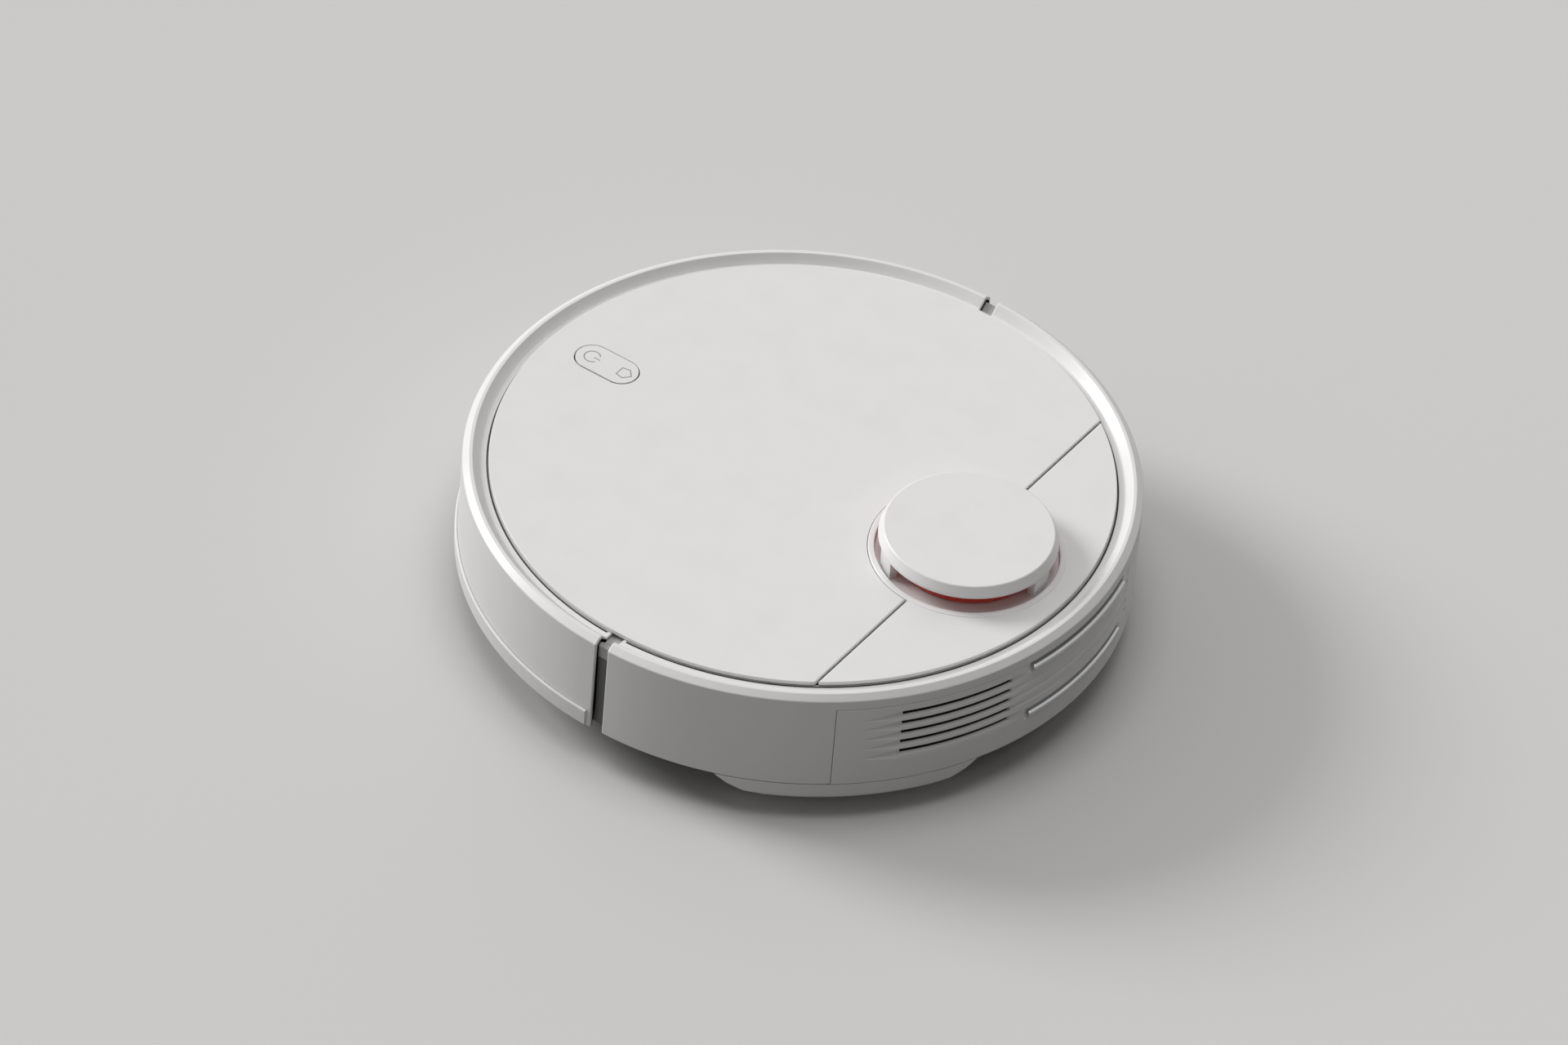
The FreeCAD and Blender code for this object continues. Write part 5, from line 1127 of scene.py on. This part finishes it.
# ---- Top frame ----
# Light grey frame screwed to the tub under the lid. Its round wall carries the lid, and a short bridge each
# side closes the top of the gap between the bumper and the rear shell.
bridge_grey = moulded_plastic("frame_grey", (0.44, 0.44, 0.435), 0.5, dust=0.12, shade=0.95)
eased_copy("top_frame", bridge_grey, 0.5 * mm, segments=3)

# ---- Turret ----
# Fixed white tray and a white cap on three pillars round the turning head; the cap has a rounded bevel
# and a plain top. It can be pushed down a little to sense a low ceiling.
turret_low, turret_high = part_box("turret_cap")
turret_x, turret_y = (turret_low.x + turret_high.x) / 2, (turret_low.y + turret_high.y) / 2
gloss_white = moulded_plastic("gloss_white", (0.80, 0.79, 0.785), 0.16, grain=0.0006, relief=0.05, dust=0.05,
                              wear=0.4, shade=0.98)


def full_ring(outline, x, y, steps=144):
    return join_rings([ring_at(outline, 360.0 * i / steps, x, y) for i in range(steps)], closed=True)


def arc_block(outline, start, stop, x, y, steps=12):
    return join_rings([ring_at(outline, start + (stop - start) * i / steps, x, y) for i in range(steps + 1)])


def add_shape(target, extra):
    holder = bpy.data.meshes.new("extra")
    extra.to_mesh(holder)
    extra.free()
    target.from_mesh(holder)
    bpy.data.meshes.remove(holder)


eased_copy("turret_tray", gloss_white, 0.3 * mm)
cap = full_ring(rounded(scaled([(0.02, 92.0, 0), (40.5, 92.0, 0.5), (40.5, 88.2, 0.3), (45.5, 88.2, 0.4),
                                (45.3, 89.6, 0.8), (43.1, 94.5, 1.1), (0.02, 94.5, 0)])),
                turret_x, turret_y)
for azimuth in (180.0, 57.0, -57.0):
    pillar = arc_block(rounded(scaled([(40.5, 77.5, 0), (44.9, 77.5, 0), (45.3, 89.2, 0), (40.5, 89.2, 0)])),
                       azimuth - 8.0, azimuth + 8.0, turret_x, turret_y)
    add_shape(cap, pillar)
white_cap = moulded_plastic("white_cap", (0.81, 0.80, 0.80), 0.3, grain=0.0006, relief=0.1, dust=0.05, wear=0.3,
                            shade=0.98)
stands_for(make_piece("turret_cap_part", cap, white_cap, 0.35 * mm, segments=3), "turret_cap")

# ---- Rear deck ----
# Fixed satin white plate behind the lid's hinge line. A raised collar round the turret is moulded in one
# with it, and a bevelled front edge makes the seam with the lid.
lid_edge, seam_x, deck_gap = 159.2, -95.6, -98.0
white_plate = moulded_plastic("white_plate", (0.80, 0.795, 0.795), 0.28, grain=0.0006, relief=0.08, dust=0.04,
                              wear=0.3, shade=0.985)


def arc_points(radius, start, stop, x=0.0, y=0.0, step=1.0):
    count = max(2, math.ceil(abs(stop - start) / step))
    angles = [math.radians(start + (stop - start) * i / count) for i in range(count + 1)]
    return [(x + radius * math.cos(a), y + radius * math.sin(a)) for a in angles]


def flat_plate(loops, low, high):
    """Plate filled between an outer loop and its holes, all (x, y) in metres."""
    shape = bmesh.new()
    edges = []
    for loop in loops:
        ring = [shape.verts.new((x, y, high)) for x, y in loop]
        edges += [shape.edges.new((ring[i], ring[(i + 1) % len(ring)])) for i in range(len(ring))]
    bmesh.ops.triangle_fill(shape, use_beauty=True, use_dissolve=False, edges=edges)
    grown = bmesh.ops.extrude_face_region(shape, geom=list(shape.faces))
    moved = [item for item in grown["geom"] if isinstance(item, bmesh.types.BMVert)]
    bmesh.ops.translate(shape, vec=(0, 0, low - high), verts=moved)
    return shape


def edge_angle(radius, x):
    return math.degrees(math.acos(x / radius))


def to_metres(points):
    return [(x * mm, y * mm) for x, y in points]


turret_x_mm, turret_y_mm = turret_x / mm, turret_y / mm


def plate_outline(line_x, cut_radius, front):
    """Part of the round top in front of or behind a straight line, with the turret cut out of it."""
    corner = edge_angle(lid_edge, line_x)
    cut = math.degrees(math.acos((line_x - turret_x_mm) / cut_radius))
    if front:
        outline = arc_points(lid_edge, -corner, corner)
        outline += arc_points(cut_radius, cut, -cut, turret_x_mm, turret_y_mm)
    else:
        outline = arc_points(lid_edge, corner, 360 - corner)
        outline += arc_points(cut_radius, 360 - cut, cut, turret_x_mm, turret_y_mm)
    return outline


deck = flat_plate([to_metres(plate_outline(deck_gap, 49.0, False))], 77.6 * mm, 80.0 * mm)
collar = full_ring(rounded(scaled([(46.5, 74.1, 0.3), (50.0, 74.1, 0.3), (50.0, 80.5, 0.7), (46.5, 80.5, 0.7)])),
                   turret_x, turret_y)
collar_piece = collar
deck_piece = make_piece("rear_deck_part", deck, white_plate, 0.45 * mm, segments=3)
stands_for(deck_piece, "rear_deck")
collar_piece = make_piece("turret_collar", collar, white_plate)
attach(collar_piece, "chassis")

# ---- Lid ----
# One flat satin white moulding that tips up on two steel pins at its rear edge, which is fully rounded.
# It is cut out for the button and the turret, and a rib underneath stiffens it.
pill_x, pill_long, pill_wide = 124.0, 37.4, 19.7


def pill_loop(length, width, x=pill_x, y=0.0, clockwise=False):
    half = (length - width) / 2
    points = arc_points(width / 2, -90, 90, x + half, y, 5.0) + arc_points(width / 2, 90, 270, x - half, y, 5.0)
    return list(reversed(points)) if clockwise else points


lid_shape = flat_plate([to_metres(plate_outline(seam_x - 1.2, 50.3, True)),
                        to_metres(pill_loop(pill_long, pill_wide, clockwise=True))], 77.6 * mm, 80.0 * mm)
weights = lid_shape.edges.layers.float.new("bevel_weight_edge")
for edge in lid_shape.edges:
    if len(edge.link_faces) == 2 and edge.calc_face_angle(0.0) > math.radians(60):
        upright = abs(edge.verts[0].co.z - edge.verts[1].co.z) > 1e-6
        at_seam = all(abs(v.co.x - (seam_x - 1.2) * mm) < 1e-6 for v in edge.verts)
        edge[weights] = 0.0 if upright else (1.0 if at_seam else 0.36)
lid_piece = make_piece("lid_part", lid_shape, white_plate, 1.15 * mm, segments=5)
lid_piece.modifiers["eased_edges"].limit_method = "WEIGHT"
stands_for(lid_piece, "lid")
rib = join_rings([ring_at(rounded(scaled([(148.0, 75.1, 0.3), (150.0, 75.1, 0.3), (150.0, 77.8, 0), (148.0, 77.8, 0)])),
                          -124.0 + 248.0 * i / 124) for i in range(125)])
rib_piece = make_piece("lid_rib", rib, white_plate)
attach(rib_piece, "lid")

# ---- Seam shade strip ----
# Black strip laid on the top frame under the cross seam: painted shade, standing for the shadow in the gap,
# and it shows only as the dark line between the lid and the deck.
# Painted shade: a near-black finish for the strip that stands in for the shadow in the seam.
painted_seam_shade = moulded_plastic("painted_seam_shade", (0.022, 0.022, 0.023), 0.9, grain=0.0005, relief=0.8, dust=0.1, wear=0.1)
seam_shade_shape = bmesh.new()
for side in (-1, 1):
    near, far = sorted((turret_y + side * 50.6 * mm, turret_y + side * 125.0 * mm))
    rows = []
    for x, z in ((-98.8, 77.0), (-98.5, 77.5), (-96.2, 77.5), (-95.8, 77.0)):
        rows.append([seam_shade_shape.verts.new((x * mm, near + (far - near) * i / 40, z * mm)) for i in range(41)])
    for first, second in zip(rows, rows[1:] + rows[:1]):
        for i in range(40):
            seam_shade_shape.faces.new((first[i], second[i], second[i + 1], first[i + 1]))
    seam_shade_shape.faces.new([row[0] for row in rows])
    seam_shade_shape.faces.new([row[-1] for row in reversed(rows)])
seam_shade_piece = make_piece("seam_seal", seam_shade_shape, painted_seam_shade)
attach(seam_shade_piece, "chassis")

# ---- Button ----
# White rocking button set flush in the lid, with two printed grey signs: power at the front end and
# home at the rear end, both reading towards the turret.
button_top = 80.1
button = flat_plate([to_metres(pill_loop(pill_long - 1.3, pill_wide - 1.3))], 75.2 * mm, button_top * mm)
stands_for(make_piece("button_cap_part", button, white_plate, 0.4 * mm, segments=4), "button_cap")
printed_grey = moulded_plastic("printed_grey", (0.30, 0.31, 0.31), 0.45, grain=0.0003, relief=0.05, dust=0.0,
                               wear=0.2)


def ink_line(points, width, closed=False):
    """A flat printed line of even width through the points, as two loops of its outline."""
    left, right = [], []
    count = len(points)
    for i in range(count):
        here = Vector(points[i])
        before = Vector(points[i - 1]) if i or closed else here
        after = Vector(points[(i + 1) % count]) if i < count - 1 or closed else here
        first = (here - before).normalized() if (here - before).length else (after - here).normalized()
        second = (after - here).normalized() if (after - here).length else first
        normal = Vector((-(first.y + second.y), first.x + second.x)).normalized()
        spread = max(0.6, normal.dot(Vector((-second.y, second.x))))
        left.append(here + normal * width / 2 / spread)
        right.append(here - normal * width / 2 / spread)
    return left, right


def print_sign(shape, lines, width):
    low, high = (button_top - 0.02) * mm, (button_top + 0.03) * mm
    for points, closed in lines:
        left, right = ink_line(points, width, closed)
        rows = []
        for a, b in zip(left, right):
            rows.append([shape.verts.new(Vector((p.x * mm, p.y * mm, z))) for p, z in
                         ((a, low), (a, high), (b, high), (b, low))])
        for i in range(len(rows) if closed else len(rows) - 1):
            first, second = rows[i], rows[(i + 1) % len(rows)]
            for j in range(4):
                k = (j + 1) % 4
                shape.faces.new((first[j], second[j], second[k], first[k]))
        if not closed:
            shape.faces.new(rows[0])
            shape.faces.new(list(reversed(rows[-1])))


signs = bmesh.new()
power_x, home_x, sign_radius = 133.5, 112.6, 4.2
ring_line = arc_points(sign_radius, -180 + 34, 180 - 34, power_x, 0.0, 6.0)
stroke = [(power_x - 1.2, 0.0), (power_x - 5.0, 0.0)]
house = [(home_x - 4.0, 0.0), (home_x - 0.9, 3.7), (home_x + 3.4, 2.9), (home_x + 3.4, -2.9), (home_x - 0.9, -3.7)]
print_sign(signs, [(ring_line, False), (stroke, False), (house, True)], 0.62)
sign_piece = make_piece("button_signs", signs, printed_grey)
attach(sign_piece, "button")

# ---- Mop ----
# White water tank that clips under the rear, its two side skirts flush with the wall above. A rubber
# plug closes the filler, and a grey microfibre pad is held flat underneath.
tank_white = moulded_plastic("tank_white", (0.79, 0.785, 0.775), 0.36, grain=0.0006, relief=0.12, dust=0.1,
                             shade=0.96)
eased_copy("mop_tank", tank_white, 0.5 * mm, segments=3)
eased_copy("tank_plug", blade_rubber, 0.4 * mm)
pad_low, pad_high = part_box("mop_pad")


def pad_outline(inset):
    """The pad's D shape drawn in by an amount, as evenly spaced points."""
    radius, line = 152.0 - inset, -69.0 - inset
    corner = edge_angle(radius, line)
    curve = arc_points(radius, corner, 360 - corner, step=1.0)
    chord = math.sqrt(radius ** 2 - line ** 2)
    straight = [(line, -chord + 2 * chord * i / 96) for i in range(1, 96)]
    return curve + straight


def pad_shape():
    """Closed pad: flat on top, crowned below, pulled in at the sewn border."""
    insets = [(0.0, 3.4), (0.3, 2.2), (1.2, 1.2), (3.0, 0.9), (4.4, 1.9), (5.2, 2.3), (6.0, 1.7), (8.0, 0.7),
              (12.0, 0.3), (20.0, 0.1), (30.0, 0.05), (41.0, 0.05)]
    rings = [[Vector((x * mm, y * mm, 4.95 * mm)) for x, y in pad_outline(41.0)]]
    for inset in (20.0, 6.0, 1.0, 0.0):
        rings.append([Vector((x * mm, y * mm, (4.95 if inset else 4.5) * mm)) for x, y in pad_outline(inset)])
    for inset, z in insets:
        rings.append([Vector((x * mm, y * mm, z * mm)) for x, y in pad_outline(inset)])
    shape = bmesh.new()
    rows = [[shape.verts.new(p) for p in ring] for ring in rings]
    count = len(rows[0])
    for first, second in zip(rows, rows[1:]):
        for j in range(count):
            k = (j + 1) % count
            shape.faces.new((first[j], second[j], second[k], first[k]))
    shape.faces.new(rows[0])
    shape.faces.new(list(reversed(rows[-1])))
    return shape


microfibre, tree, surface = new_material("microfibre")
place = add_node(tree, "ShaderNodeTexCoord").outputs["Object"]
stripes = add_node(tree, "ShaderNodeTexWave", {"Vector": place, "Scale": 55.0, "Distortion": 2.5, "Detail": 3.0,
                                               "Detail Scale": 6.0}, bands_direction="Y").outputs["Fac"]
loops = add_node(tree, "ShaderNodeTexVoronoi", {"Vector": place, "Scale": 700.0}).outputs[0]
fluff = add_node(tree, "ShaderNodeTexNoise", {"Vector": place, "Scale": 1500.0, "Detail": 3.0}).outputs[0]
tone = blend_colour(tree, stripes, (0.20, 0.205, 0.21), (0.34, 0.345, 0.35))
tone = blend_colour(tree, arithmetic(tree, "MULTIPLY", loops, 0.8), tone, (0.11, 0.113, 0.118))
tree.links.new(tone, surface.inputs["Base Color"])
surface.inputs["Roughness"].default_value = 0.92
surface.inputs["Sheen Weight"].default_value = 0.4
pile = arithmetic(tree, "ADD", arithmetic(tree, "MULTIPLY", loops, 0.7), fluff)
bump = add_node(tree, "ShaderNodeBump", {"Strength": 0.8, "Distance": 0.0006,
                                         "Height": arithmetic(tree, "ADD", pile, stripes)})
tree.links.new(bump.outputs[0], surface.inputs["Normal"])
pad = make_piece("mop_pad_part", pad_shape(), microfibre)
stands_for(pad, "mop_pad")
